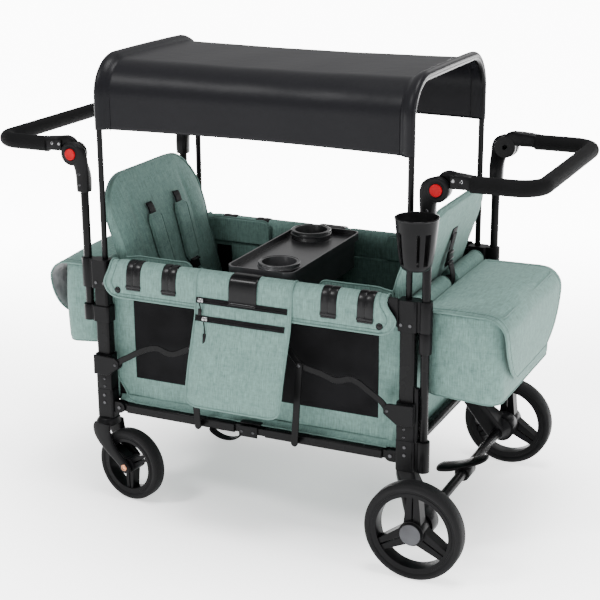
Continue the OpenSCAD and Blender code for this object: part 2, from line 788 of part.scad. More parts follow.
// Cup holder clamped on the left rear handle tube
module cup_holder() {
    r = 44;
    y = side_y + 17 + r + 2;
    z = joint_z - 153;
    color("#232324") mirror([0, 1, 0]) difference() {
        union() {
            translate([handle_x, y, z]) rotate_extrude() polygon([
                [0, 0], [29, 0], [r, 108], [r - 3, 108], [26, 4], [0, 4]
            ]);
            translate([handle_x, side_y, z + 14]) cylinder(r = handle_r + 5, h = 34);
            translate([handle_x - 10, side_y + 8, z + 14]) cube([20, y - side_y - 38, 34]);
        }
        translate([handle_x, side_y, z]) cylinder(r = handle_r + fit, h = 60);
        for (a = [150, 210, 270, 330, 30]) translate([handle_x, y, z + 30]) rotate(a)
            translate([25, -5, 0]) cube([30, 10, 48]);
    }
}

// Running gear

// Legs from the lower rear brackets out to the axle, with the brake drums
module rear_legs() {
    bore_in = min(side_y + 6, wheel_y - rear_tyre_w / 2 - 80);
    color("#232324") both_sides() difference() {
        union() {
            hull() {
                translate([post_x, side_y, lower_low - 12])
                    round_block(2 * bracket_hx - 2, 2 * bracket_hy - 4, 12, bracket_r, $fn = 32);
                rod_y(axle_x - 8, rear_r + 4, side_y + 12, wheel_y - rear_tyre_w / 2 - 12, 22, $fn = 32);
            }
            rod_y(axle_x, rear_r, wheel_y - rear_tyre_w / 2 - 42, wheel_y - rear_tyre_w / 2 - 5, 31);
            translate([axle_x, wheel_y - rear_tyre_w / 2 - 74, rear_r]) rotate([-90, 0, 0])
                cylinder(r1 = 14, r2 = 27, h = 34);
        }
        rod_y(axle_x, rear_r, bore_in, wheel_y, axle_d / 2 + fit);
        rod_y(axle_x, rear_r, bore_in, wheel_y - rear_tyre_w / 2 - 42, 11 + fit);
    }
}

// Rear axle: thick tube between the legs, thin journals in the wheels
module rear_axle() {
    inner = wheel_y - rear_tyre_w / 2 - 42.5;
    color("#1b1b1c") union() {
        rod_y(axle_x, rear_r, -inner, inner, 11);
        rod_y(axle_x, rear_r, -wheel_y - 18, wheel_y + 18, axle_d / 2);
    }
}

// Rocker pedal of the brake on the axle tube
module brake_pedal() {
    color("#232324") difference() {
        union() {
            rod_y(axle_x, rear_r, -24, 24, 17);
            plate_y(-24, 24) translate([axle_x, rear_r]) union() {
                bent_strip([[-60, 0], [-22, 6], [8, 18], [50, 34]], 10);
                for (p = [[-60, 0], [50, 34]]) translate(p) circle(r = 6);
            }
        }
        rod_y(axle_x, rear_r, -30, 30, 11 + pin_play);
    }
}

// Moves a caster piece from its own frame (axis at the origin) to its place
module at_caster(side) {
    translate([-post_x, side * side_y, 0]) rotate(caster_yaw) children();
}

// Caster fork with stem, crown, two arms and the axle bolt
module caster_fork(side) {
    color("#232324") at_caster(side) {
        difference() {
            union() {
                translate([0, 0, lower_low - 42]) cylinder(r = 24, h = 41.5);
                translate([0, 0, lower_low - 10]) cylinder(r = stem_r, h = 46);
                for (s = [-1, 1]) mirror([0, s < 0 ? 1 : 0, 0]) hull() {
                    rod_y(trail, front_r, front_tyre_w / 2 + 4, front_tyre_w / 2 + 12, 15, $fn = 32);
                    translate([-14, front_tyre_w / 2 + 4, lower_low - 40]) cube([44, 8, 36]);
                }
                translate([-14, -front_tyre_w / 2 - 5, lower_low - 16]) cube([44, front_tyre_w + 10, 12]);
            }
            translate([trail, 0, front_r]) rotate([90, 0, 0])
                cylinder(r = front_r + 5, h = front_tyre_w + 7.6, center = true);
            rod_y(trail, front_r, -40, 40, 5 + fit);
        }
        rod_y(trail, front_r, -front_tyre_w / 2 - 14, front_tyre_w / 2 + 14, 5);
        for (s = [-1, 1]) mirror([0, s < 0 ? 1 : 0, 0])
            rod_y(trail, front_r, front_tyre_w / 2 + 12, front_tyre_w / 2 + 16, 9);
    }
}

// Wheel pieces about the Y axis through the origin

// Tyre with rounded shoulders
module tyre(r, w) {
    rotate([90, 0, 0]) rotate_extrude($fn = 128) translate([r - tyre_h, 0]) {
        translate([0, -w / 2 + 3]) square([tyre_h - 8, w - 6]);
        translate([0, -w / 2 + 8]) square([tyre_h, w - 16]);
        for (s = [-1, 1]) translate([tyre_h - 8.05, s * (w / 2 - 8)]) circle(r = 8);
    }
}

// Rim with hub, three slit spokes turned by an angle and a cap on the outer side
module rim(r, w, bore, hub_r, turn, cap) {
    ring = r - tyre_h - 0.2;
    slit = 1.6;
    difference() {
        union() {
            rotate([90, 0, 0]) rotate_extrude($fn = 128)
                translate([ring - 8, -w / 2 + 2]) square([8, w - 4]);
            rod_y(0, 0, -w / 2 - 1, w / 2 + 1, hub_r);
            for (a = [90, 210, 330], s = [-1, 1]) rotate([90, a + turn, 0])
                linear_extrude(w - 10, center = true) polygon([
                    [hub_r * 0.5, s * slit], [ring - 4, s * slit],
                    [ring - 4, s * hub_r * 0.46], [hub_r * 0.5, s * hub_r * 0.72]
                ]);
        }
        rod_y(0, 0, -w, w, bore);
    }
    if (cap) difference() {
        rod_y(0, 0, w / 2 + 1, w / 2 + 7, hub_r - 4);
        rod_y(0, 0, w / 2, w / 2 + 4, hub_r - 8);
    }
}

module rear_wheel_place(side) {
    translate([axle_x, side * wheel_y, rear_r]) mirror([0, side < 0 ? 1 : 0, 0]) children();
}

module front_wheel_place(side) {
    at_caster(side) translate([trail, 0, front_r]) children();
}

module rear_rim(side) {
    color("#1e1e1f") rear_wheel_place(side) rim(rear_r, rear_tyre_w, axle_d / 2 + pin_play, 27, 180, true);
}

module rear_tyre(side) {
    color("#18181a") rear_wheel_place(side) tyre(rear_r, rear_tyre_w);
}

module front_rim(side) {
    color("#1e1e1f") front_wheel_place(side) rim(front_r, front_tyre_w, 5 + pin_play, 17, 0, false);
}

module front_tyre(side) {
    color("#18181a") front_wheel_place(side) tyre(front_r, front_tyre_w);
}

frame_tubes(-1);  // front_frame_tubes
frame_tubes(1);  // rear_frame_tubes
upper_brackets(-1);  // front_upper_brackets
upper_brackets(1);  // rear_upper_brackets
lower_brackets(-1);  // front_lower_brackets
lower_brackets(1);  // rear_lower_brackets
fasteners(-1);  // front_fasteners
fasteners(1);  // rear_fasteners
handle_housings(-1);  // front_handle_housings
handle_housings(1);  // rear_handle_housings
handle_bar(-1);  // front_handle_bar
handle_bar(1);  // rear_handle_bar
handle_grip(-1);  // front_handle_grip
handle_grip(1);  // rear_handle_grip
joint_button(-1, -1);  // front_left_button
joint_button(-1, 1);  // front_right_button
joint_button(1, -1);  // rear_left_button
joint_button(1, 1);  // rear_right_button
top_rails(-1);  // front_top_rails
top_rails(1);  // rear_top_rails
bottom_rails(-1);  // front_bottom_rails
bottom_rails(1);  // rear_bottom_rails
floor_board(-1);  // front_floor_board
floor_board(1);  // rear_floor_board
braces(-1);  // front_braces
braces(1);  // rear_braces
links(-1);  // front_links
links(1);  // rear_links
rail_hubs();
rail_covers();
tray();
side_pocket();
tub_fabric();
end_panel(-1);  // front_end_panel
end_panel(1);  // rear_end_panel
seat_pad(-1);  // front_seat_pad
seat_pad(1);  // rear_seat_pad
seat_back(-1);  // front_seat_back
seat_back(1);  // rear_seat_back
bag(-1);  // front_bag
bag(1);  // rear_bag
bag_flap(-1);  // front_bag_flap
bag_flap(1);  // rear_bag_flap
bow(-1);  // front_bow
bow(1);  // rear_bow
canopy();
cup_holder();
rear_legs();
rear_axle();
brake_pedal();
caster_fork(-1);  // left_caster_fork
caster_fork(1);  // right_caster_fork
front_rim(-1);  // left_front_rim
front_rim(1);  // right_front_rim
front_tyre(-1);  // left_front_tyre
front_tyre(1);  // right_front_tyre
rear_rim(-1);  // left_rear_rim
rear_rim(1);  // right_rear_rim
rear_tyre(-1);  // left_rear_tyre
rear_tyre(1);  // right_rear_tyre
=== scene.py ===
import sys
import bisect
import json
import math

import bmesh
import bpy
import numpy as np
from mathutils import Matrix, Vector
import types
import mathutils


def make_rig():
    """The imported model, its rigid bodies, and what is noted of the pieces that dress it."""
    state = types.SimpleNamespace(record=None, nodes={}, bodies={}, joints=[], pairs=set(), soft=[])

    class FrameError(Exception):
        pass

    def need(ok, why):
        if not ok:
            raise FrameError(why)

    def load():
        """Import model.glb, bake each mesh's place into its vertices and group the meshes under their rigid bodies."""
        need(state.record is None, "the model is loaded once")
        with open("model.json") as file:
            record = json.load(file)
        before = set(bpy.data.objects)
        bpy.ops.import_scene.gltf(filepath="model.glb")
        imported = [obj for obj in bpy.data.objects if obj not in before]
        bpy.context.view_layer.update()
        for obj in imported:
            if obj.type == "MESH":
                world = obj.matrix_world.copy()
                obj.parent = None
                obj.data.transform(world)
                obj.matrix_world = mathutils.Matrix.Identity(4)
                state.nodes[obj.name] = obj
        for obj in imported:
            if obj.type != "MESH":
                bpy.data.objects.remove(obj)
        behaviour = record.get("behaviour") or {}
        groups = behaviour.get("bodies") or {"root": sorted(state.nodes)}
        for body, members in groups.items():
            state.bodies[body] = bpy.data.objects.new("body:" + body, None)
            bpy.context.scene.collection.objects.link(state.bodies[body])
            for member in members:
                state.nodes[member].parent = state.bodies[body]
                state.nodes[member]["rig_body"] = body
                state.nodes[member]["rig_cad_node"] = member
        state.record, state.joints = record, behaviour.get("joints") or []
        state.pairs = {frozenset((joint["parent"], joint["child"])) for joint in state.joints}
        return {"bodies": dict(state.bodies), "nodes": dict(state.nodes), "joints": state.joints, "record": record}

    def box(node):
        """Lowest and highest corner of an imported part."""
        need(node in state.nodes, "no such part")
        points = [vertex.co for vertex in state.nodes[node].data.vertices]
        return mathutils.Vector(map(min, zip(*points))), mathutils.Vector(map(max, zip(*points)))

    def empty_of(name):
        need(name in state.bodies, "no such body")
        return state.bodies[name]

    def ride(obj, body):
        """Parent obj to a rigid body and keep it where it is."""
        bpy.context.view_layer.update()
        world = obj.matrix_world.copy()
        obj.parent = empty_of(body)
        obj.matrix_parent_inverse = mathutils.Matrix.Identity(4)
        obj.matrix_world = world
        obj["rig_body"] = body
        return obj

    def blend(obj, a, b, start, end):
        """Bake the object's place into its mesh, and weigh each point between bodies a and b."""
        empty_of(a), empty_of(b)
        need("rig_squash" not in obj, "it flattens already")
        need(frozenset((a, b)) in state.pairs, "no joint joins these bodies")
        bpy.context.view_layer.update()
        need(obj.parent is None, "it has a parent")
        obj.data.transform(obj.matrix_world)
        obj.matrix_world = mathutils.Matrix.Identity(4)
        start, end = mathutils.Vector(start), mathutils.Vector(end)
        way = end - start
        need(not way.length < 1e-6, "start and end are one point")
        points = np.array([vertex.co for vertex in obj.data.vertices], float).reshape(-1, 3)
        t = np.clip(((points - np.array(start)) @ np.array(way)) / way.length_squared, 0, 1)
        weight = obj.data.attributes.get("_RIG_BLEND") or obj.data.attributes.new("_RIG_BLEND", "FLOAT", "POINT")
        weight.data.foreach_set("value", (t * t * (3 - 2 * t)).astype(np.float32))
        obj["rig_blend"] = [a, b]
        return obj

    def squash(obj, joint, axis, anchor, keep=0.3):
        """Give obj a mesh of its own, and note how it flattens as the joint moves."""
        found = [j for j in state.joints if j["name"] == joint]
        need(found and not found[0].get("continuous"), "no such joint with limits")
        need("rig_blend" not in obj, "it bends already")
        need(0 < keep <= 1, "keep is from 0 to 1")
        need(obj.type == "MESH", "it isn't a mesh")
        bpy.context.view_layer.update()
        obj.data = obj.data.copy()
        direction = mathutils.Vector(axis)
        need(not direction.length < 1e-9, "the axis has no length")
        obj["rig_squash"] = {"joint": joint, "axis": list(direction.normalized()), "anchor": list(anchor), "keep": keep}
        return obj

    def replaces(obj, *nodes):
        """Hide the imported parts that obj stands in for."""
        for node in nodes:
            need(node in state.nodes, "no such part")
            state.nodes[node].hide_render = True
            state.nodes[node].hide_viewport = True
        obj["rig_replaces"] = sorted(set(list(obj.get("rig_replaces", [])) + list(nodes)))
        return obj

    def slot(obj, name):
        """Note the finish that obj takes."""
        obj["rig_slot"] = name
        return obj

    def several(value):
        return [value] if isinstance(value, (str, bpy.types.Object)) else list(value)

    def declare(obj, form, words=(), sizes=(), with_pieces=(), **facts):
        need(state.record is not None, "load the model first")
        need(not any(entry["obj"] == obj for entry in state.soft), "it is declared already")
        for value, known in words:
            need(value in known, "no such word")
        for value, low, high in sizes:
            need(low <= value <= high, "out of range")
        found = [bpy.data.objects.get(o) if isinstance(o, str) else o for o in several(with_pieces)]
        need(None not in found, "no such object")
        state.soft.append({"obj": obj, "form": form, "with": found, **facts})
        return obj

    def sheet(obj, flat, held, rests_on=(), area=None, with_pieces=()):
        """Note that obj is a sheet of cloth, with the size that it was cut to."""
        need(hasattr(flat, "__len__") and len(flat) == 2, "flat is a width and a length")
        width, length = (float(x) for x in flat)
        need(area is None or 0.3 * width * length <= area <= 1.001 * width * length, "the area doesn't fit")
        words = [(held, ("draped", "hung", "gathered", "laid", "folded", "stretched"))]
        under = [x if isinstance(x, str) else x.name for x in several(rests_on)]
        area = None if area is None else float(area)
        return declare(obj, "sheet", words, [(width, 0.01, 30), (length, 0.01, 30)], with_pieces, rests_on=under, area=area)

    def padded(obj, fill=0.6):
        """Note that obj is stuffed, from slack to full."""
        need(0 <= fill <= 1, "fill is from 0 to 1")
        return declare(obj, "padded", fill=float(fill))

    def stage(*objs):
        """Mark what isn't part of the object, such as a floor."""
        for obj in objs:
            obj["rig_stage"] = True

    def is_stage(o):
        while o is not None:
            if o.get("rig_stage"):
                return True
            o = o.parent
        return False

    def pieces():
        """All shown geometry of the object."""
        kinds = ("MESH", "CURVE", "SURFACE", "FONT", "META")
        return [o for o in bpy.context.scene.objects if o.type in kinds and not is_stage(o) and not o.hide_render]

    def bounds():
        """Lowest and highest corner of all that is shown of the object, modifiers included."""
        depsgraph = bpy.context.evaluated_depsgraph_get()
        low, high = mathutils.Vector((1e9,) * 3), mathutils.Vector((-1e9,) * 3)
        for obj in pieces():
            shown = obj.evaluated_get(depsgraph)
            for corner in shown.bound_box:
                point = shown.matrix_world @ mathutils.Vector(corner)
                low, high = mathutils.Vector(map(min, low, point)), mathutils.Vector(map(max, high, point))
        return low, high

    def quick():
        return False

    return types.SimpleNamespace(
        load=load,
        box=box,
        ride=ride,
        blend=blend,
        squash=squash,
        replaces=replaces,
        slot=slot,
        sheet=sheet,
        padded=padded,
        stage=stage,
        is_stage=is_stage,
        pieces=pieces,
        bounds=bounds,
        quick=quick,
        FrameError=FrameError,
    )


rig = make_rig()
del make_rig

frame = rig.load()
CAD_BOX = [list(corner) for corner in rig.bounds()]

bl_info = {
    "name": "Stroller wagon dressing",
    "version": (1, 0, 0),
    "blender": (4, 5, 0),
    "location": "View3D > Sidebar > Wagon",
    "description": "Soft goods, trim and finishes of a folding stroller wagon",
    "category": "Object",
}

MM = 0.001
ENDS = {"front": -1, "rear": 1}
SIDES = {"left": -1, "right": 1}
# Places of the frame in millimetres and the turn of the casters at rest
POST_X = 366
SIDE_Y = 222
HANDLE_X = 402
CASTER_TURN = math.radians(-8)


class WagonColours(bpy.types.PropertyGroup):
    """Colours of the cloth and the hard parts"""

    sage: bpy.props.FloatVectorProperty(
        name="Sage cloth", description="Middle tone of the heathered cloth",
        subtype="COLOR", size=3, min=0, max=1, default=(0.088, 0.148, 0.132))
    canopy: bpy.props.FloatVectorProperty(
        name="Canopy", description="Charcoal of the canopy cloth",
        subtype="COLOR", size=3, min=0, max=1, default=(0.0046, 0.0046, 0.0056))
    coat: bpy.props.FloatVectorProperty(
        name="Powder coat", description="Satin black of the tubes",
        subtype="COLOR", size=3, min=0, max=1, default=(0.0030, 0.0030, 0.0032))
    moulding: bpy.props.FloatVectorProperty(
        name="Mouldings", description="Black of the plastic parts",
        subtype="COLOR", size=3, min=0, max=1, default=(0.0036, 0.0036, 0.0039))
    button: bpy.props.FloatVectorProperty(
        name="Buttons", description="Red of the release buttons",
        subtype="COLOR", size=3, min=0, max=1, default=(0.22, 0.002, 0.005))


class WagonSizes(bpy.types.PropertyGroup):
    """Sizes of the trim, in millimetres"""

    piping: bpy.props.FloatProperty(
        name="Piping", description="Diameter of the sewn piping", default=5.0, min=2, max=8)
    webbing: bpy.props.FloatProperty(
        name="Rail straps", description="Width of the straps on the rail covers", default=36.0, min=20,
        max=50)
    belt: bpy.props.FloatProperty(
        name="Belts", description="Width of the harness belts", default=25.0, min=15, max=40)
    window_low: bpy.props.FloatProperty(
        name="Window foot", description="Height of the lower edge of the mesh windows", default=293.0,
        min=250, max=350)
    window_top: bpy.props.FloatProperty(
        name="Window head", description="Height of the upper edge of the mesh windows", default=500.0,
        min=400, max=505)
    canopy_drop: bpy.props.FloatProperty(
        name="Canopy drop", description="How far the cloth lies below its hoop sleeves", default=13.0, min=0,
        max=25)


# Materials

class Finish:
    """Node tree of one material, built up step by step."""

    def __init__(self, name, roughness=0.5, metallic=0.0):
        self.mat = bpy.data.materials.new(name)
        self.mat.use_nodes = True
        self.tree = self.mat.node_tree
        self.shader = self.tree.nodes["Principled BSDF"]
        self.shader.inputs["Roughness"].default_value = roughness
        self.shader.inputs["Metallic"].default_value = metallic
        self.coords = self.add("ShaderNodeTexCoord")
        self.last_bump = None

    def add(self, kind, **props):
        node = self.tree.nodes.new(kind)
        for key, value in props.items():
            setattr(node, key, value)
        return node

    def plug(self, value, socket):
        if hasattr(value, "is_output"):
            self.tree.links.new(value, socket)
        else:
            socket.default_value = value

    def mapped(self, scale, location=(0, 0, 0), source="Object"):
        node = self.add("ShaderNodeMapping")
        self.tree.links.new(self.coords.outputs[source], node.inputs["Vector"])
        node.inputs["Location"].default_value = location
        node.inputs["Scale"].default_value = scale
        return node.outputs[0]

    def noise(self, vector, scale=1.0, detail=2.0, rough=0.5):
        node = self.add("ShaderNodeTexNoise")
        self.tree.links.new(vector, node.inputs["Vector"])
        node.inputs["Scale"].default_value = scale
        node.inputs["Detail"].default_value = detail
        node.inputs["Roughness"].default_value = rough
        return node.outputs[0]

    def maths(self, operation, a, b=0.0, clamp=False):
        node = self.add("ShaderNodeMath", operation=operation, use_clamp=clamp)
        self.plug(a, node.inputs[0])
        self.plug(b, node.inputs[1])
        return node.outputs[0]

    def ramp(self, value, stops):
        node = self.add("ShaderNodeValToRGB")
        self.tree.links.new(value, node.inputs[0])
        line = node.color_ramp
        while len(line.elements) < len(stops):
            line.elements.new(0.5)
        for element, (place, colour) in zip(line.elements, stops):
            element.position = place
            element.color = (*colour, 1)
        return node.outputs[0]

    def colour(self, value):
        self.plug(value if hasattr(value, "is_output") else (*value, 1), self.shader.inputs["Base Color"])

    def roughen(self, value, low, high):
        node = self.add("ShaderNodeMapRange")
        self.tree.links.new(value, node.inputs["Value"])
        node.inputs["To Min"].default_value = low
        node.inputs["To Max"].default_value = high
        self.tree.links.new(node.outputs[0], self.shader.inputs["Roughness"])

    def bump(self, height, strength, distance):
        node = self.add("ShaderNodeBump")
        node.inputs["Strength"].default_value = strength
        node.inputs["Distance"].default_value = distance
        self.tree.links.new(height, node.inputs["Height"])
        if self.last_bump:
            self.tree.links.new(self.last_bump, node.inputs["Normal"])
        self.last_bump = node.outputs[0]
        self.tree.links.new(self.last_bump, self.shader.inputs["Normal"])

    def sheen(self, weight, roughness=0.4):
        self.shader.inputs["Sheen Weight"].default_value = weight
        self.shader.inputs["Sheen Roughness"].default_value = roughness

    def three_ways(self, pattern):
        """Blends a flat pattern seen along X, Y and Z by where the surface faces."""
        split = self.add("ShaderNodeSeparateXYZ")
        self.tree.links.new(self.coords.outputs["Normal"], split.inputs[0])
        weights = [self.maths("POWER", self.maths("ABSOLUTE", out), 3.0) for out in split.outputs]
        total = self.maths("ADD", self.maths("ADD", weights[0], weights[1]), weights[2])
        parts = [self.maths("MULTIPLY", pattern(axis), weight) for axis, weight in enumerate(weights)]
        return self.maths("DIVIDE", self.maths("ADD", self.maths("ADD", parts[0], parts[1]), parts[2]), total)


def shade(colour, factor):
    return tuple(min(1.0, c * factor) for c in colour)


def woven(name, colour, slub, thread, contrast, roughness, sheen, bump, shine=0.12):
    """Heathered cloth: long and short threads of several tones, crossing at right angles."""
    f = Finish(name, roughness)
    f.shader.inputs["Specular IOR Level"].default_value = shine

    def threads(axis):
        flat = [(0, 1, 2), (1, 0, 2), (2, 0, 1)][axis]
        both = []
        for long_way, share in ((2, 0.74), (1, 0.26)):
            scale = [0.0, 0.0, 0.0]
            scale[flat[long_way]] = 1 / slub
            scale[flat[3 - long_way]] = 1 / thread
            both.append(f.maths("MULTIPLY", f.noise(f.mapped(scale), 1.0, 4.0, 0.68), share))
        return f.maths("ADD", both[0], both[1])

    cloth = f.three_ways(threads)
    patches = f.noise(f.mapped((1, 1, 1)), 120.0, 4.0, 0.6)
    tone = f.maths("ADD", f.maths("MULTIPLY", cloth, 0.76), f.maths("MULTIPLY", patches, 0.24))
    f.colour(f.ramp(tone, [(0.36, shade(colour, 1 - contrast)), (0.5, colour),
                           (0.64, shade(colour, 1 + contrast))]))
    f.sheen(sheen)
    f.bump(cloth, bump, 0.0006)
    f.bump(f.noise(f.mapped((1, 1, 1)), 38.0, 2.0), 0.12, 0.004)
    return f.mat


def moulded(name, colour, low, high, grain, bump, shine=0.05):
    """Moulded plastic or coat with a fine grain and slightly uneven gloss."""
    f = Finish(name, low)
    f.shader.inputs["Specular IOR Level"].default_value = shine
    fine = f.noise(f.mapped((1, 1, 1)), grain, 2.0)
    broad = f.noise(f.mapped((1, 1, 1)), 22.0, 3.0)
    f.colour(f.ramp(broad, [(0.3, shade(colour, 0.85)), (0.7, shade(colour, 1.2))]))
    f.roughen(broad, low, high)
    f.bump(fine, bump, 0.0003)
    return f.mat


def webbed(name, colour, rib):
    """Woven strap with close ribs both ways."""
    f = Finish(name, 0.62)

    def ribs(axis):
        flat = [(1, 2), (0, 2), (0, 1)][axis]
        waves = []
        for way in flat:
            scale = [0.0, 0.0, 0.0]
            scale[way] = 2 * math.pi / rib
            node = f.add("ShaderNodeVectorMath", operation="DOT_PRODUCT")
            f.tree.links.new(f.coords.outputs["Object"], node.inputs[0])
            node.inputs[1].default_value = scale
            waves.append(f.maths("SINE", node.outputs["Value"]))
        return f.maths("MULTIPLY", waves[0], waves[1])

    weave = f.three_ways(ribs)
    broad = f.noise(f.mapped((1, 1, 1)), 60.0, 2.0)
    f.colour(f.ramp(f.maths("ADD", f.maths("MULTIPLY", weave, 0.2), broad),
                    [(0.3, shade(colour, 0.7)), (0.7, shade(colour, 1.4))]))
    f.shader.inputs["Specular IOR Level"].default_value = 0.05
    f.bump(weave, 0.4, 0.0004)
    return f.mat


def netted(name, colour):
    """Close black mesh of the windows."""
    f = Finish(name, 0.8)
    f.shader.inputs["Specular IOR Level"].default_value = 0.06

    def cells(axis):
        scale = [760.0, 760.0, 760.0]
        scale[axis] = 0.0
        node = f.add("ShaderNodeTexVoronoi", feature="DISTANCE_TO_EDGE")
        f.tree.links.new(f.mapped(scale), node.inputs["Vector"])
        node.inputs["Scale"].default_value = 1.0
        return node.outputs["Distance"]

    holes = f.three_ways(cells)
    broad = f.noise(f.mapped((1, 1, 1)), 14.0, 2.0)
    tone = f.maths("ADD", f.maths("MULTIPLY", holes, -0.8), broad)
    f.colour(f.ramp(tone, [(0.1, shade(colour, 0.5)), (0.55, shade(colour, 1.4))]))
    f.bump(holes, 0.5, -0.0005)
    return f.mat


def treaded(name, colour, centre, axis, radius):
    """Tyre rubber with shallow slanting grooves on its tread."""
    f = Finish(name, 0.6)
    f.shader.inputs["Specular IOR Level"].default_value = 0.08
    move = f.add("ShaderNodeVectorMath", operation="SUBTRACT")
    f.tree.links.new(f.coords.outputs["Object"], move.inputs[0])
    move.inputs[1].default_value = centre
    across = Vector(axis)
    along = across.cross(Vector((0, 0, 1))).normalized()
    place = []
    for direction in (along, Vector((0, 0, 1)), across):
        node = f.add("ShaderNodeVectorMath", operation="DOT_PRODUCT")
        f.tree.links.new(move.outputs[0], node.inputs[0])
        node.inputs[1].default_value = direction
        place.append(node.outputs["Value"])
    angle = f.maths("ARCTAN2", place[1], place[0])
    out = f.maths("SQRT", f.maths("ADD", f.maths("POWER", place[0], 2), f.maths("POWER", place[1], 2)))
    tread = f.maths("GREATER_THAN", out, radius - 0.006)
    slant = f.maths("ADD", f.maths("MULTIPLY", angle, 54.0),
                    f.maths("MULTIPLY", f.maths("ABSOLUTE", place[2]), 420.0))
    groove = f.maths("GREATER_THAN", f.maths("SINE", slant), 0.55)
    grooves = f.maths("MULTIPLY", tread, groove)
    grain = f.noise(f.mapped((1, 1, 1)), 900.0, 2.0)
    broad = f.noise(f.mapped((1, 1, 1)), 30.0, 3.0)
    f.colour(f.ramp(broad, [(0.3, shade(colour, 0.8)), (0.7, shade(colour, 1.3))]))
    f.roughen(broad, 0.5, 0.72)
    f.bump(grooves, 0.7, -0.0012)
    f.bump(grain, 0.1, 0.0003)
    return f.mat


def finishes():
    """All materials, made once and found again by name."""
    colours = bpy.context.scene.wagon_colours
    sage, coat, moulding = tuple(colours.sage), tuple(colours.coat), tuple(colours.moulding)
    made = {
        "sage": lambda: woven("Sage cloth", sage, 0.034, 0.0013, 0.46, 0.86, 0.08, 0.4),
        "sage_trim": lambda: woven("Sage piping", shade(sage, 0.86), 0.012, 0.0016, 0.2, 0.84, 0.1, 0.25),
        "canopy": lambda: woven("Charcoal canopy cloth", tuple(colours.canopy), 0.016, 0.0012, 0.16, 0.38,
                                0.0, 0.1, 0.07),
        "coat": lambda: moulded("Satin black coat", coat, 0.22, 0.32, 1500.0, 0.03, 0.06),
        "moulding": lambda: moulded("Black moulding", moulding, 0.28, 0.38, 1700.0, 0.06, 0.055),
        "gloss": lambda: moulded("Smooth black moulding", moulding, 0.2, 0.3, 900.0, 0.02, 0.1),
        "tray": lambda: moulded("Charcoal tray moulding", shade(moulding, 6.0), 0.26, 0.36, 1500.0, 0.03,
                                0.5),
        "grip": lambda: moulded("Foam grip", shade(coat, 0.9), 0.78, 0.9, 1100.0, 0.25),
        "button": lambda: moulded("Red moulding", tuple(colours.button), 0.25, 0.34, 800.0, 0.02),
        "cap": lambda: moulded("Grey hub cap", (0.05, 0.051, 0.055), 0.42, 0.52, 1600.0, 0.05),
        "board": lambda: woven("Board cover", (0.012, 0.013, 0.0125), 0.01, 0.0015, 0.2, 0.85, 0.1, 0.2),
        "lining": lambda: lined("Silver lining"),
        "steel": lambda: steel("Bright screw", (0.2, 0.2, 0.205), 0.26),
        "dark_steel": lambda: steel("Dark screw", (0.04, 0.04, 0.042), 0.3),
        "bolt": lambda: steel("Copper-toned bolt", (0.5, 0.22, 0.12), 0.3),
        "webbing": lambda: webbed("Black webbing", (0.004, 0.004, 0.0044), 0.0022),
        "gloss_webbing": lambda: moulded("Coated black webbing", shade(moulding, 1.1), 0.22, 0.34, 700.0, 0.1,
                                         0.12),
        "mesh": lambda: netted("Black window mesh", (0.0036, 0.0036, 0.004)),
        "zip": lambda: webbed("Zip tape", (0.005, 0.005, 0.0055), 0.0016),
        "thread": lambda: webbed("Sewing thread", shade(sage, 0.62), 0.001),
    }

    class Shelf(dict):
        def __missing__(self, key):
            self[key] = made[key]()
            return self[key]

    return Shelf()


def lined(name):
    f = Finish(name, 0.34, 0.55)
    folds = f.noise(f.mapped((1, 1, 1)), 46.0, 4.0, 0.6)
    f.colour(f.ramp(folds, [(0.3, (0.24, 0.24, 0.25)), (0.7, (0.46, 0.46, 0.47))]))
    f.roughen(folds, 0.28, 0.46)
    f.bump(folds, 0.5, 0.004)
    return f.mat


def steel(name, colour, roughness):
    f = Finish(name, roughness, 1.0)
    fine = f.noise(f.mapped((900, 900, 900)), 1.0, 2.0)
    f.colour(f.ramp(fine, [(0.3, shade(colour, 0.85)), (0.7, shade(colour, 1.1))]))
    f.roughen(fine, roughness * 0.8, roughness * 1.3)
    f.bump(fine, 0.05, 0.0002)
    return f.mat


SHELF = {}


def material(key):
    if "shelf" not in SHELF:
        SHELF["shelf"] = finishes()
    return SHELF["shelf"][key]


# Helpers

# Slot of the library that each finish fills
SLOT_OF = {
    "canopy": "canopy_fabric",
    "coat": "black_frame",
    "button": "red_button",
    "cap": "wheel_plastic",
    "tray": "tray_plastic",
    **dict.fromkeys(("sage", "sage_trim", "thread"), "sage_fabric"),
    **dict.fromkeys(("steel", "dark_steel", "bolt"), "screw_steel"),
    **dict.fromkeys(("moulding", "gloss", "gloss_webbing", "grip", "webbing", "zip"), "black_plastic"),
}


def piece(name, bm, finish, body, slot=None, sharp=40.0, more=()):
    """Makes an object with its finish from a bmesh in millimetres; it rides on the body that is named."""
    bmesh.ops.transform(bm, matrix=Matrix.Scale(MM, 4), verts=bm.verts)
    mesh = bpy.data.meshes.new(name)
    bm.to_mesh(mesh)
    bm.free()
    for key in (finish, *more):
        mesh.materials.append(material(key))
    for polygon in mesh.polygons:
        polygon.use_smooth = True
    mesh.set_sharp_from_angle(angle=math.radians(sharp))
    obj = bpy.data.objects.new(name, mesh)
    bpy.context.scene.collection.objects.link(obj)
    if body:
        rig.ride(obj, body)
    slot = slot or SLOT_OF[finish]
    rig.slot(obj, slot)
    return obj


def modifier(obj, kind, **props):
    made = obj.modifiers.new(kind.lower(), kind)
    for key, value in props.items():
        setattr(made, key, value)
    return made


def bevelled(obj, millimetres, segments):
    modifier(obj, "BEVEL", width=millimetres * MM, segments=segments, limit_method="ANGLE")
    return obj


def rounded(obj, levels=1):
    modifier(obj, "SUBSURF", levels=levels, render_levels=levels)
    return obj


def thick(obj, millimetres, offset=-1.0):
    modifier(obj, "SOLIDIFY", thickness=millimetres * MM, offset=offset, use_even_offset=True)
    return obj


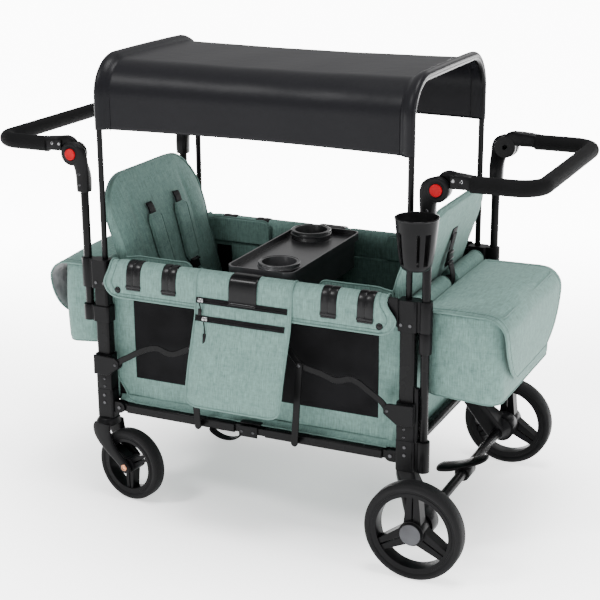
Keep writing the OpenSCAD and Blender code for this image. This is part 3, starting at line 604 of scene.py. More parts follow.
def cloth_grid(columns, rows, place):
    """Grid whose points go where place(u, v) says, u and v from 0 to 1."""
    bm = bmesh.new()
    bmesh.ops.create_grid(bm, x_segments=columns, y_segments=rows, size=0.5)
    for vert in bm.verts:
        vert.co = Vector(place(vert.co.x + 0.5, vert.co.y + 0.5))
    bmesh.ops.recalc_face_normals(bm, faces=bm.faces)
    return bm


def area_of(bm):
    return sum(face.calc_area() for face in bm.faces) * MM * MM


def facing(bm, direction):
    """Turns the sheet so that its normals agree with a direction."""
    total = Vector()
    for face in bm.faces:
        total += face.normal * face.calc_area()
    if total.dot(Vector(direction)) < 0:
        bmesh.ops.reverse_faces(bm, faces=bm.faces)
    return bm


def smooth_line(points, steps=8, closed=False):
    """Points on a smooth curve through the given ones."""
    pts = [Vector(p) for p in points]
    count = len(pts)
    line = []
    for i in range(count if closed else count - 1):
        if closed:
            a, b, c, d = (pts[(i + k) % count] for k in (-1, 0, 1, 2))
        else:
            a, b, c, d = pts[max(i - 1, 0)], pts[i], pts[i + 1], pts[min(i + 2, count - 1)]
        for k in range(steps):
            t = k / steps
            line.append(0.5 * (2 * b + (c - a) * t + (2 * a - 5 * b + 4 * c - d) * t * t
                               + (3 * b - a - 3 * c + d) * t * t * t))
    if not closed:
        line.append(pts[-1])
    return line


class Path:
    """Line that knows the point at any share of its length."""

    def __init__(self, points):
        self.points = [Vector(p) for p in points]
        self.marks = [0.0]
        for a, b in zip(self.points, self.points[1:]):
            self.marks.append(self.marks[-1] + (b - a).length)

    def at(self, share):
        goal = max(0.0, min(1.0, share)) * self.marks[-1]
        i = min(max(bisect.bisect_left(self.marks, goal), 1), len(self.marks) - 1)
        span = max(self.marks[i] - self.marks[i - 1], 1e-9)
        return self.points[i - 1].lerp(self.points[i], (goal - self.marks[i - 1]) / span)

    def way(self, share, step=0.02):
        return (self.at(share + step) - self.at(share - step)).normalized()


def length_of(line):
    return sum((b - a).length for a, b in zip(line, line[1:]))


def cordlike(name, points, diameter, finish, body, slot=None, closed=False, sides=8):
    """Round trim such as piping, swept along its points."""
    bm = bmesh.new()
    pts = [Vector(p) for p in points]
    count = len(pts)
    rings = []
    side = None
    for i, p in enumerate(pts):
        before = pts[i - 1] if i or closed else p
        after = pts[(i + 1) % count] if i < count - 1 or closed else p
        tangent = (after - before).normalized()
        if side is None:
            side = tangent.orthogonal().normalized()
        side = (side - tangent * side.dot(tangent)).normalized()
        turn = Matrix((side, tangent.cross(side), tangent)).transposed().to_4x4()
        ring = bmesh.ops.create_circle(bm, segments=sides, radius=diameter / 2,
                                       matrix=Matrix.Translation(p) @ turn)["verts"]
        rings.append(sorted({e for v in ring for e in v.link_edges}, key=lambda e: e.index))
    pairs = list(zip(rings, rings[1:]))
    if closed:
        pairs.append((rings[-1], rings[0]))
    for a, b in pairs:
        bmesh.ops.bridge_loops(bm, edges=a + b)
    if not closed:
        for ring in (rings[0], rings[-1]):
            bmesh.ops.edgeloop_fill(bm, edges=ring)
    bmesh.ops.recalc_face_normals(bm, faces=bm.faces)
    return piece(name, bm, finish, body, slot, sharp=60)


def sage_piping(name, line, diameter, body, **shape):
    """Round piping in the sage trim cloth."""
    return cordlike(name, line, diameter, "sage_trim", body, **shape)


def ribbon(name, line, across, width, finish, body, slot=None, thickness=1.6, crown=0.0, rows=None,
           columns=4):
    """Flat strap along a line; across gives the direction of its width."""
    path = Path(line)
    rows = rows or max(6, int(path.marks[-1] / 8))
    wide = Vector(across).normalized()

    def place(u, v):
        up = path.way(v).cross(wide).normalized()
        return path.at(v) + wide * (u - 0.5) * width + up * crown * (1 - (2 * u - 1) ** 2)

    obj = piece(name, cloth_grid(columns, rows, place), finish, body, slot)
    thick(obj, thickness, 0.0)
    bevelled(obj, 0.35 * thickness, 2)
    return obj


def block(bm, centre, size, bevel=0.0, segments=2, turn=None):
    """Adds a box with bevelled edges to a bmesh."""
    made = bmesh.ops.create_cube(bm, size=1.0)["verts"]
    matrix = Matrix.Translation(centre) @ (turn or Matrix.Identity(4)) @ Matrix.Diagonal((*size, 1))
    bmesh.ops.transform(bm, matrix=matrix, verts=made)
    if bevel:
        edges = list({e for v in made for e in v.link_edges})
        bmesh.ops.bevel(bm, geom=edges, offset=bevel, offset_type="OFFSET", segments=segments,
                        profile=0.5, affect="EDGES", material=-1)
    return bm


def turned(bm, profile, centre, axis, steps=48):
    """Adds a shape of revolution: profile holds (distance along the axis, radius)."""
    way = Vector(axis).normalized()
    out = way.orthogonal().normalized()
    verts = [bm.verts.new(Vector(centre) + way * a + out * r) for a, r in profile]
    edges = [bm.edges.new(pair) for pair in zip(verts, verts[1:])]
    bmesh.ops.spin(bm, geom=verts + edges, cent=centre, axis=way, angle=2 * math.pi, steps=steps,
                   use_merge=True)
    bmesh.ops.remove_doubles(bm, verts=bm.verts, dist=0.001)
    bmesh.ops.recalc_face_normals(bm, faces=bm.faces)
    return bm


def puffed(bm, voxel, pressure, cap, pull=1.0):
    """Fills a closed form with air as a sewn cushion does, and returns the new bmesh in millimetres.

    A piped edge lets the outline pull in by only a share of what a loose one would.
    """
    bmesh.ops.transform(bm, matrix=Matrix.Scale(MM, 4), verts=bm.verts)
    mesh = bpy.data.meshes.new("filling")
    bm.to_mesh(mesh)
    bm.free()
    obj = bpy.data.objects.new("filling", mesh)
    scene = bpy.context.scene
    scene.collection.objects.link(obj)
    modifier(obj, "REMESH", mode="VOXEL", voxel_size=voxel * MM)
    view = bpy.context.evaluated_depsgraph_get()
    obj.data = bpy.data.meshes.new_from_object(obj.evaluated_get(view))
    obj.modifiers.clear()
    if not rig.quick():
        start = np.array([v.co for v in obj.data.vertices])
        soft = modifier(obj, "CLOTH")
        soft.settings.quality = 4
        soft.settings.use_pressure = True
        soft.settings.uniform_pressure_force = pressure
        soft.settings.effector_weights.gravity = 0
        soft.point_cache.frame_start = 1
        soft.point_cache.frame_end = 20
        for number in range(1, 21):
            scene.frame_set(number)
        view = bpy.context.evaluated_depsgraph_get()
        done = obj.evaluated_get(view)
        moved = np.array([v.co for v in done.data.vertices]) - start
        length = np.linalg.norm(moved, axis=1, keepdims=True)
        moved *= np.minimum(1.0, cap * MM / np.maximum(length, 1e-9))
        moved[:, :2] *= pull
        obj.modifiers.clear()
        obj.data.vertices.foreach_set("co", (start + moved).ravel())
        scene.frame_set(1)
    result = bmesh.new()
    result.from_mesh(obj.data)
    bmesh.ops.smooth_vert(result, verts=result.verts, factor=0.5, use_axis_x=True, use_axis_y=True,
                          use_axis_z=True)
    bmesh.ops.transform(result, matrix=Matrix.Scale(1 / MM, 4), verts=result.verts)
    bpy.data.objects.remove(obj)
    return result


def bell(away, width):
    """Hump of height one that fades with the distance from its middle."""
    return math.exp(-(away / width) ** 2)


def ease(t):
    """Smooth step from nought to one."""
    t = max(0.0, min(1.0, t))
    return t * t * (3 - 2 * t)


# Stage and frame

class WAGON_OT_stage(bpy.types.Operator):
    """Pale glowing floor with a painted shadow around the wagon, soft studio light and the camera"""

    bl_idname = "wagon.stage"
    bl_label = "Stage"

    def execute(self, context):
        scene = context.scene
        bm = bmesh.new()
        bmesh.ops.create_grid(bm, x_segments=2, y_segments=2, size=40.0)
        mesh = bpy.data.meshes.new("floor")
        bm.to_mesh(mesh)
        bm.free()
        pale = Finish("Pale floor", 0.75)
        speck = pale.noise(pale.mapped((1, 1, 1)), 3.0, 2.0)
        pale.colour(pale.ramp(speck, [(0.3, (0.86, 0.86, 0.86)), (0.7, (0.88, 0.88, 0.88))]))
        pale.shader.inputs["Emission Color"].default_value = (1, 1, 1, 1)
        # Painted shadow: the floor's glow dims towards the wagon's middle, so a soft shadow is painted under it; far
        # behind the wagon, the floor glows brighter as a white backdrop
        far = pale.add("ShaderNodeVectorMath", operation="LENGTH")
        pale.tree.links.new(pale.mapped((1 / 0.62, 1 / 0.5, 1)), far.inputs[0])
        glow = pale.add("ShaderNodeMapRange", interpolation_type="SMOOTHSTEP")
        pale.tree.links.new(far.outputs["Value"], glow.inputs["Value"])
        for socket, value in (("From Min", 0.3), ("From Max", 1.7), ("To Min", 0.4), ("To Max", 3.4)):
            glow.inputs[socket].default_value = value
        depth = pale.add("ShaderNodeVectorMath", operation="DOT_PRODUCT")
        pale.tree.links.new(pale.coords.outputs["Object"], depth.inputs[0])
        depth.inputs[1].default_value = (-0.4226, 0.9063, 0)
        backdrop = pale.add("ShaderNodeMapRange", interpolation_type="SMOOTHSTEP")
        pale.tree.links.new(depth.outputs["Value"], backdrop.inputs["Value"])
        for socket, value in (("From Min", 0.5), ("From Max", 2.4), ("To Min", 0.0), ("To Max", 7.0)):
            backdrop.inputs[socket].default_value = value
        pale.plug(pale.maths("ADD", glow.outputs[0], backdrop.outputs[0]),
                  pale.shader.inputs["Emission Strength"])
        mesh.materials.append(pale.mat)
        floor = bpy.data.objects.new("floor", mesh)
        floor.location.z = -0.0003
        scene.collection.objects.link(floor)
        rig.stage(floor)

        world = bpy.data.worlds.new("Studio")
        world.use_nodes = True
        nodes, links = world.node_tree.nodes, world.node_tree.links
        split = nodes.new("ShaderNodeSeparateXYZ")
        links.new(nodes.new("ShaderNodeTexCoord").outputs["Generated"], split.inputs[0])
        sky = nodes.new("ShaderNodeMapRange")
        links.new(split.outputs["Z"], sky.inputs["Value"])
        for socket, value in (("From Min", 0.0), ("From Max", 1.0), ("To Min", 0.5), ("To Max", 1.3)):
            sky.inputs[socket].default_value = value
        links.new(sky.outputs[0], nodes["Background"].inputs["Strength"])
        nodes["Background"].inputs["Color"].default_value = (1, 1, 1, 1)
        scene.world = world
        for name, place, size, power in (
            ("key", (-2.2, -2.7, 4.0), 1.1, 160.0),
            ("fill", (4.2, -0.6, 1.9), 1.2, 95.0),
            ("top", (0.6, -0.2, 4.4), 1.6, 215.0),
            ("back", (0.5, 4.0, 2.4), 2.4, 30.0),
            ("front", (-1.4, -4.6, 1.1), 1.0, 16.0),
        ):
            lamp = bpy.data.lights.new(name, "AREA")
            lamp.energy = power
            lamp.shape = "DISK"
            lamp.size = size
            obj = bpy.data.objects.new(name, lamp)
            obj.location = place
            aim = Vector((0, 0, 0.45)) - Vector(place)
            obj.rotation_euler = aim.to_track_quat("-Z", "Y").to_euler()
            scene.collection.objects.link(obj)

        lens = bpy.data.cameras.new("camera")
        lens.sensor_width = 36.0
        lens.lens = 87.46
        turn, rise, roll = (math.radians(a) for a in (25.0, 17.76, -0.34))
        back = Vector((math.sin(turn) * math.cos(rise), -math.cos(turn) * math.cos(rise), math.sin(rise)))
        right = Vector((math.cos(turn), math.sin(turn), 0))
        up = back.cross(right)
        right, up = right * math.cos(roll) + up * math.sin(roll), up * math.cos(roll) - right * math.sin(roll)
        camera = bpy.data.objects.new("camera", lens)
        place = Matrix((right, up, back)).transposed().to_4x4()
        place.translation = Vector((0.02153, -0.00882, 0.45616)) + back * 3.3098
        camera.matrix_world = place
        scene.collection.objects.link(camera)
        scene.camera = camera
        return {"FINISHED"}


class WAGON_OT_frame(bpy.types.Operator):
    """Finishes and softened edges of the frame's own parts"""

    bl_idname = "wagon.frame"
    bl_label = "Frame finishes"

    def execute(self, context):
        looks = {
            "coat": ("frame_tubes", "handle_bar", "top_rails", "bottom_rails", "links", "bow", "axle",
                     "braces"),
            "moulding": ("upper_brackets", "lower_brackets", "handle_housings", "rail_hubs", "cup_holder",
                         "rear_legs", "brake_pedal", "caster_fork", "_rim"),
            "dark_steel": ("fasteners",),
            "grip": ("handle_grip",),
            "button": ("button",),
            "tray": ("tray",),
            "board": ("floor_board",),
            "canopy": ("canopy",),
            "sage": ("rail_covers", "side_pocket", "tub_fabric", "end_panel", "seat_pad", "seat_back", "bag",
                     "bag_flap"),
        }
        soften = {"coat": 0.6, "moulding": 1.4, "dark_steel": 0.5, "grip": 0.0, "button": 2.2, "tray": 1.6,
                  "board": 2.0}
        for name, obj in frame["nodes"].items():
            look = next((key for key, ends in looks.items() if name.endswith(ends)), "moulding")
            if name.endswith("tyre"):
                low, high = (Vector(corner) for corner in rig.box(name))
                yaw = CASTER_TURN if "front" in name else 0.0
                axis = (-math.sin(yaw), math.cos(yaw), 0)
                finish = treaded(name.replace("_", " "), (0.0042, 0.0042, 0.0045), (low + high) / 2, axis,
                                 (high.z - low.z) / 2)
            else:
                finish = material(look)
            if not obj.material_slots:
                obj.data.materials.append(finish)
            for holder in obj.material_slots:
                holder.material = finish
            width = soften.get(look, 0.0)
            if width:
                modifier(obj, "WELD", merge_threshold=0.00002)
                modifier(obj, "BEVEL", width=width * MM, segments=2, limit_method="ANGLE",
                         angle_limit=math.radians(38), harden_normals=False, use_clamp_overlap=True)
        return {"FINISHED"}


# Soft goods

def arch_point(share, width, top, corner, low):
    """Point and outward normal of the canopy's arch in Y and Z, from the left foot over to the right foot."""
    side, bend, flat = top - corner - low, corner * math.pi / 2, 2 * (width - corner)
    run = share * (2 * side + 2 * bend + flat)
    if run <= side:
        return (-width, low + run), (-1.0, 0.0)
    run -= side
    if run <= bend:
        a = run / corner
        return ((-width + corner - corner * math.cos(a), top - corner + corner * math.sin(a)),
                (-math.cos(a), math.sin(a)))
    run -= bend
    if run <= flat:
        return (-width + corner + run, top), (0.0, 1.0)
    run -= flat
    if run <= bend:
        a = run / corner
        return ((width - corner + corner * math.sin(a), top - corner + corner * math.cos(a)),
                (math.sin(a), math.cos(a)))
    return (width, top - corner - (run - bend)), (1.0, 0.0)


class WAGON_OT_canopy(bpy.types.Operator):
    """Canopy cloth with a sleeve around each hoop"""

    bl_idname = "wagon.canopy"
    bl_label = "Canopy"

    def execute(self, context):
        drop = context.scene.wagon_sizes.canopy_drop
        low, high = (Vector(corner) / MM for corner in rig.box("canopy"))
        front, rear = low.x, high.x
        width, top, foot, corner = high.y - 0.6, high.z - 0.4, low.z, 87.0
        sleeve = [(33.5, 3 - drop - 4), (22, -16.4), (11, -16.8), (3.4, -14.4), (0.4, -8.4), (1.8, -3.4),
                  (5, -0.8), (9, 0), (15, -0.9), (23, -4.6), (30, -10.2), (35, 0.4 - drop), (42, -drop)]
        span = (rear - front) - 2 * sleeve[-1][0]
        section = [(front + t, d) for t, d in sleeve]
        section += [(front + sleeve[-1][0] + span * k / 24, -drop - 3.5 * math.sin(math.pi * k / 24))
                    for k in range(1, 24)]
        section += [(rear - t, d) for t, d in reversed(sleeve)]
        line = smooth_line([(x, d, 0) for x, d in section], 3)

        def place(u, v):
            p = line[round(u * (len(line) - 1))]
            middle = max(0.0, math.sin(math.pi * (p.x - front) / (rear - front)))
            (y, z), normal = arch_point(v, width, top, corner, foot)
            lift = 2 + 4.0 * middle * max(0.0, 1 - (z - foot) / 60)
            ripple = 1.1 * math.sin(p.x / 31 + 3 * v) * math.sin(9 * v) * middle ** 0.5
            crown = 3.0 * max(0.0, normal[1]) ** 2 * (1 - (y / width) ** 2)
            off = p.y + ripple + crown
            return p.x, y + normal[0] * off, z + normal[1] * off + lift

        bm = facing(cloth_grid(len(line) - 1, 110, place), (0, 0, 1))
        size = (length_of(line) * MM * 1.01,
                2 * MM * ((top - corner - foot) + corner * math.pi / 2 + width - corner) * 1.02)
        obj = piece("canopy_cloth", bm, "canopy", "front_canopy", sharp=60)
        thick(obj, 1.3)
        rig.replaces(obj, "canopy")
        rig.sheet(obj, size, "stretched", ["front_bow", "rear_bow"], size[0] * size[1] * 0.97)
        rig.squash(obj, "fold", (1, 0, 0), (front * MM, 0, 0), 0.47)
        for name, x in (("front", front + 35.5), ("rear", rear - 35.5)):
            path = []
            for k in range(121):
                (y, z), normal = arch_point(k / 120, width - drop + 0.7, top - drop + 0.7,
                                            corner - drop + 0.7, foot)
                path.append((x, y, z + 2.4 * max(0.0, normal[1]) ** 2 * (1 - (y / width) ** 2)))
            seam = cordlike(f"canopy_{name}_seam", path, 1.5, "canopy", "front_canopy", sides=6)
            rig.squash(seam, "fold", (1, 0, 0), (front * MM, 0, 0), 0.47)
        return {"FINISHED"}


# Section of a rail cover, as distance from the middle plane and height
COVER = [(201, 512), (199, 530), (201, 548), (207, 561), (216, 568), (224, 569.5), (233, 566.5), (240.5, 558),
         (244.5, 545), (246, 530), (246.8, 515), (247.6, 502), (248.4, 490)]
COVER_PATH = Path(smooth_line([(y, z, 0) for y, z in COVER], 6))


def cover_point(share, lift=0.0):
    """Point of the rail cover's section, lifted off the cloth."""
    p, way = COVER_PATH.at(share), COVER_PATH.way(share, 0.01)
    return p.x - way.y * lift, p.y + way.x * lift


def share_at(height):
    """Share of the cover's section at which its outer side reaches a height."""
    low, high = 0.45, 1.0
    for _ in range(30):
        middle = (low + high) / 2
        if cover_point(middle)[1] > height:
            low = middle
        else:
            high = middle
    return low


class WAGON_OT_rail_covers(bpy.types.Operator):
    """Padded covers of the top rails with their straps and snaps"""

    bl_idname = "wagon.rail_covers"
    bl_label = "Rail covers"

    inner_end = 35.0
    roll_end = 322.0
    flap_end = 346.0
    corner = 36.0
    straps = {"front": (182.0, 271.0), "rear": (197.0, 279.0)}

    def end_at(self, share, s):
        """Outer end of the cover at a share of its section."""
        z = cover_point(share)[1]
        roll_end = self.roll_end + (11 if s < 0 else 0)
        if share < 0.45:
            return roll_end - 6 * (1 - share / 0.45)
        out = roll_end + (self.flap_end - roll_end) * ease((560 - z) / 42)
        low = z - COVER[-1][1]
        if low < self.corner:
            out -= self.corner - math.sqrt(max(0.0, self.corner ** 2 - (self.corner - low) ** 2))
        return out

    def execute(self, context):
        sizes = context.scene.wagon_sizes
        top_obj = {}
        for end, s in ENDS.items():
            body = f"{end}_top_rails"
            straps = self.straps[end]
            for side, t in SIDES.items():
                def place(u, v, lift=0.0):
                    share = 1 - v
                    x = self.inner_end + u * (self.end_at(share, s) - self.inner_end)
                    pinch = sum(bell(x - c, 13) for c in straps) + bell(x - self.roll_end, 9)
                    soft = math.sin(x / 17 + 4 * share + s) * math.sin(7 * share) * 0.7
                    edge = min(1.0, (1 - share) * 9, u * 12, (1 - u) * 10)
                    fill = (1.6 * ease(edge) - 1.7 * pinch + soft) * (0.25 + 0.75 * ease(edge))
                    y, z = cover_point(share, lift + fill)
                    return s * x, t * y, z

                bm = facing(cloth_grid(76, 46, place), (0, t, 0.4))
                obj = piece(f"{end}_{side}_rail_cover", bm, "sage", body, sharp=70)
                thick(obj, 4.5)
                bevelled(obj, 1.2, 2)
                flat = ((self.flap_end - self.inner_end) * MM * 1.03, COVER_PATH.marks[-1] * MM * 1.06)
                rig.sheet(obj, flat, "draped", [body], flat[0] * flat[1] * 0.94)
                top_obj[end, side] = obj
                rim = [place(u, 0.0, 0.6) for u in np.linspace(0.0, 1.0, 50)]
                rim += [place(1.0, v, 0.6) for v in np.linspace(0.02, 0.86, 44)]
                sage_piping(f"{end}_{side}_cover_piping", rim, sizes.piping, body)
                stitch = [place(u, 0.055, 0.5) for u in np.linspace(0.0, 0.93, 60)]
                stitch += [place(0.93 + 0.02 * math.sin(math.pi * k / 30), 0.055 + 0.7 * k / 30, 0.5)
                           for k in range(1, 31)]
                cordlike(f"{end}_{side}_cover_stitch", stitch, 1.1, "thread", body, sides=5)
                for c in straps:
                    self.strap(f"{end}_{side}_strap_{c:.0f}", s * c, t, sizes.webbing, body)
                y, z = cover_point(share_at(507), 1.0)
                bm = turned(bmesh.new(), [(-3, 7.4), (0.6, 7.5), (1.8, 6.9), (2.4, 5.6), (2.0, 4.6),
                                          (2.6, 3.4), (2.9, 0.0)],
                            (s * 311, t * y, z), (0, t, 0.12), 32)
                piece(f"{end}_{side}_snap", bm, "gloss", body)
        for end in ENDS:
            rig.replaces(top_obj[end, "left"], "rail_covers")
        return {"FINISHED"}

    def strap(self, name, x, t, width, body):
        first, last = 0.16, share_at(518)

        def place(u, v):
            share = first + (last - first) * v
            across = abs(2 * u - 1)
            swell = 1.1 * (1 - abs(2 * across - 1) ** 2.5) - (0.9 if across < 0.07 else 0.0)
            y, z = cover_point(share, 1.5 + swell)
            return x + (u - 0.5) * width, t * y, z

        bm = facing(cloth_grid(28, 40, place), (0, t, 0.4))
        obj = piece(name, bm, "gloss_webbing", body, sharp=50)
        thick(obj, 1.8, 0.0)
        bevelled(obj, 0.5, 2)
        y, z = cover_point(last, 3.0)
        bm = bmesh.new()
        block(bm, (x, t * y, z - 0.5), (width + 1.5, 5.2, 6.5), 1.9, 3)
        block(bm, (x, t * (y - 0.8), z - 6.0), (width - 1.0, 4.2, 5.0), 1.5, 3)
        piece(f"{name}_fold", bm, "gloss_webbing", body)


class WAGON_OT_clamps(bpy.types.Operator):
    """Clamps over the middle of the top rails, with the ledges of the tray"""

    bl_idname = "wagon.clamps"
    bl_label = "Rail clamps"

    def execute(self, context):
        section = [(193, 549), (194.5, 559), (200, 566.5), (209, 571), (SIDE_Y, 573), (235, 571.5),
                   (245, 566), (250.5, 556), (253, 543), (254, 528), (254.4, 518.5), (255.6, 514.8),
                   (259, 512.6)]
        path = Path(smooth_line([(y, z, 0) for y, z in section], 5))
        for side, t in SIDES.items():
            def place(u, v):
                p = path.at(v)
                edge = min(1.0, u / 0.06, (1 - u) / 0.06)
                return (u - 0.5) * 67, t * (p.x - 0.6 * (1 - edge) ** 2), p.y - 0.6 * (1 - edge) ** 2

            bm = facing(cloth_grid(30, 50, place), (0, t, 0.5))
            obj = piece(f"{side}_rail_clamp", bm, "gloss", "middle", sharp=70)
            thick(obj, 3.4)
            bevelled(obj, 1.1, 3)
            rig.replaces(obj, "rail_hubs")
            bm = bmesh.new()
            block(bm, (0, t * 186.5, 556.6), (50, 17, 4), 1.2, 3)
            block(bm, (0, t * 191.5, 546), (54, 5, 24), 1.6, 3)
            block(bm, (0, t * SIDE_Y, 543), (62, 50, 40), 6, 3)
            piece(f"{side}_tray_ledge", bm, "gloss", "middle")
        return {"FINISHED"}


class WAGON_OT_tub(bpy.types.Operator):
    """Walls of the tub with mesh windows, their lining and hem, and the floor cloth"""

    bl_idname = "wagon.tub"
    bl_label = "Tub"

    end = 353.0
    wall = 204.0
    foot = 227.0
    head = 518.0

    def columns(self):
        """Places along the wagon whose lines fall on the window edges."""
        stops = [(-self.end, 6), (-300, 28), (-85, 20), (58, 30), (293, 12)]
        places = []
        for (start, count), after in zip(stops, [-300, -85, 58, 293, self.end]):
            places += [start + (after - start) * k / count for k in range(count)]
        return places + [self.end]

    def rows(self, sizes):
        marks = [self.foot, sizes.window_low, sizes.window_top, self.head]
        places = []
        for start, after, count in zip(marks, marks[1:], (14, 34, 4)):
            places += [start + (after - start) * k / count for k in range(count)]
        return places + [self.head]

    def edge(self, z):
        """Front edge of the wall, which slants in towards its foot."""
        return -self.end + 28.0 * (1 - ease((z - 236) / 60))

    def in_window(self, x, z, sizes):
        return (-300 < x < -85 or 58 < x < 293) and sizes.window_low - 7 < z < sizes.window_top

    def execute(self, context):
        sizes = context.scene.wagon_sizes
        across, up = self.columns(), self.rows(sizes)
        for side, t in SIDES.items():
            def place(u, v):
                x, z = across[round(u * (len(across) - 1))], up[round(v * (len(up) - 1))]
                z -= 7.0 * bell(z - sizes.window_low, 30) * ease((abs(x + 13) - 30) / 30)
                if x < -self.end + 50:
                    x += (self.edge(z) + self.end) * (1 - (x + self.end) / 50)
                inside = self.in_window(x, z - 0.5, sizes)
                gather = 3.2 * bell(x - 326, 22) * math.sin((x - 0.35 * z) / 9)
                gather += 1.5 * math.sin(x / 19 + 1.6 * math.sin(x / 61)) * bell(z - 254, 24)
                belly = (2.0 * math.sin(math.pi * (z - self.foot) / (self.head - self.foot))
                         * math.cos(x / 240))
                roll = 7.0 * (1 - math.sqrt(max(0.0, 1 - max(0.0, 1 - (z - self.foot) / 14) ** 2)))
                return x, t * (self.wall - 2.0 + gather + belly - (1.8 if inside else 0.0) - roll), z

            bm = facing(cloth_grid(len(across) - 1, len(up) - 1, place), (0, t, 0))
            for face in bm.faces:
                c = face.calc_center_median()
                if self.in_window(c.x, c.z, sizes):
                    face.material_index = 1
            flat = (2 * self.end * MM * 1.03, (self.head - self.foot) * MM * 1.05)
            obj = piece(f"{side}_tub_wall", bm, "sage", "front_end", sharp=50, more=("mesh",))
            thick(obj, 2.2)
            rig.sheet(obj, flat, "hung", ["front_top_rails", "rear_top_rails"], flat[0] * flat[1] * 0.945)
            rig.squash(obj, "fold", (1, 0, 0), (-self.end * MM, 0, 0), 0.437)
            if side == "left":
                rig.replaces(obj, "tub_fabric")
            self.trim(side, t, sizes)
            self.lining(side, t)
        self.floor()
        return {"FINISHED"}

    def folds(self, obj):
        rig.squash(obj, "fold", (1, 0, 0), (-self.end * MM, 0, 0), 0.437)
        return obj

    def trim(self, side, t, sizes):
        """Piped lower edge, hem, binding tape and dark gusset."""
        y = t * (self.wall - 1.0)
        corner = [Vector((self.edge(z) + 1, y, z)) for z in np.linspace(500, 240, 50)]
        low = t * (self.wall + 13.4)
        corner += smooth_line([(self.edge(239) + 1, y, 239), (-316, (y + low) / 2, 233.4),
                               (-296, low, 230.2)], 6)
        line = corner + [Vector((x, low, 229.9 + 0.3 * math.sin(x / 5))) for x in np.linspace(-288, 318, 160)]
        self.folds(sage_piping(f"{side}_tub_piping", line, sizes.piping, "front_end"))

        def hem(u, v):
            x = -340 + 684 * u
            reach = 9.0 + 5.2 * ease((330 - abs(x)) / 16)
            z = 242.0 - 12.2 * v ** 0.8 + 0.6 * math.sin(x / 5) * math.sin(math.pi * v)
            return x, t * (203.6 + reach * v), z

        bm = facing(cloth_grid(200, 8, hem), (0, t, 1))
        area = area_of(bm)
        obj = piece(f"{side}_tub_hem", bm, "sage", "front_end")
        thick(obj, 1.6)
        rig.sheet(obj, (0.69, 0.0206), "hung", ["front_bottom_rails", "rear_bottom_rails"], area * 1.105)
        self.folds(obj)

        def binding(u, v):
            return -344 + 690 * u, t * (204.2 + 1.6 * v), 229.8 - 16 * v

        bm = facing(cloth_grid(60, 4, binding), (0, t, 0))
        area = area_of(bm)
        obj = piece(f"{side}_tub_binding", bm, "webbing", "front_end", "sage_fabric")
        thick(obj, 1.4)
        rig.sheet(obj, (0.695, 0.0176), "hung", ["front_bottom_rails", "rear_bottom_rails"], area * 1.095)
        self.folds(obj)

        def gusset(u, v):
            z = 224 + 276 * v
            return -self.end - 13 + u * 57.5, t * (self.wall - 4.5 - 1.5 * math.sin(math.pi * u)), z

        obj = piece(f"{side}_gusset", facing(cloth_grid(8, 30, gusset), (0, t, 0)), "webbing", "front_end",
                    "sage_fabric")
        thick(obj, 1.4)
        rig.sheet(obj, (0.0594, 0.281), "hung", ["front_end"], 0.0594 * 0.281 * 0.985)
        self.folds(obj)

    def lining(self, side, t):
        """Cloth that hangs inside the wall, over the upper part of the windows."""
        def place(u, v):
            x, z = -258 + 516 * u, 396 + 116 * v
            return x, t * (self.wall - 8.5 + 0.9 * math.sin(x / 21) * (1 - v)
                           + 0.5 * math.sin(x / 9 + z / 15)), z

        obj = piece(f"{side}_wall_lining", facing(cloth_grid(90, 24, place), (0, -t, 0)), "sage", "front_end",
                    sharp=70)
        thick(obj, 1.8)
        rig.sheet(obj, (0.53, 0.12), "hung", ["front_top_rails", "rear_top_rails"], 0.53 * 0.12 * 0.96)
        self.folds(obj)
        hem = sage_piping(f"{side}_wall_lining_edge", [place(u, 0) for u in np.linspace(0, 1, 90)], 3.4,
                          "front_end")
        self.folds(hem)

    def floor(self):
        def place(u, v):
            x, y = -self.end + 2 * self.end * u, (v - 0.5) * 2 * (self.wall - 4)
            return x, y, 229.6 + 0.7 * math.sin(x / 37) * math.sin(y / 41)

        obj = piece("tub_floor_cloth", facing(cloth_grid(80, 40, place), (0, 0, 1)), "sage", "front_end")
        thick(obj, 1.6)
        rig.sheet(obj, (0.72, 0.42), "laid", ["front_bottom_rails", "rear_bottom_rails"], 0.72 * 0.42 * 0.95)
        self.folds(obj)


class WAGON_OT_liner(bpy.types.Operator):
    """Padded inner edges that stand up beside the seats"""

    bl_idname = "wagon.liner"
    bl_label = "Liner edges"

    def execute(self, context):
        inner, outer, foot, head, corner = 152.0, 319.0, 514.0, 571.0, 18.0
        for end, s in ENDS.items():
            for side, t in SIDES.items():
                def top_at(x):
                    w = max(0.0, (inner + corner - x) / corner)
                    return head - corner * (1 - math.sqrt(max(0.0, 1 - w * w))) - 5 * ease((x - 280) / 40)

                def place(u, v):
                    x = inner + (outer - inner) * u
                    wave = 1.0 * math.sin(x / 21 + 2 * t) * v
                    return s * x, t * (192.5 + wave - 2.5 * v), foot + v * (top_at(x) - foot)

                bm = facing(cloth_grid(48, 12, place), (0, -t, 0))
                obj = piece(f"{end}_{side}_liner_edge", bm, "sage", f"{end}_top_rails", sharp=80)
                thick(obj, 8.0, 0.0)
                bevelled(obj, 3.0, 3)
                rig.padded(obj, 0.6)
                rim = [place(0.0, v) for v in np.linspace(0.2, 0.98, 10)]
                rim += [place(u, 1.0) for u in np.linspace(0.02, 1, 60)]
                rim = [(x, y + t * 3.2, z + 1.2) for x, y, z in rim]
                sage_piping(f"{end}_{side}_liner_piping", rim, 4.2, f"{end}_top_rails")
        return {"FINISHED"}


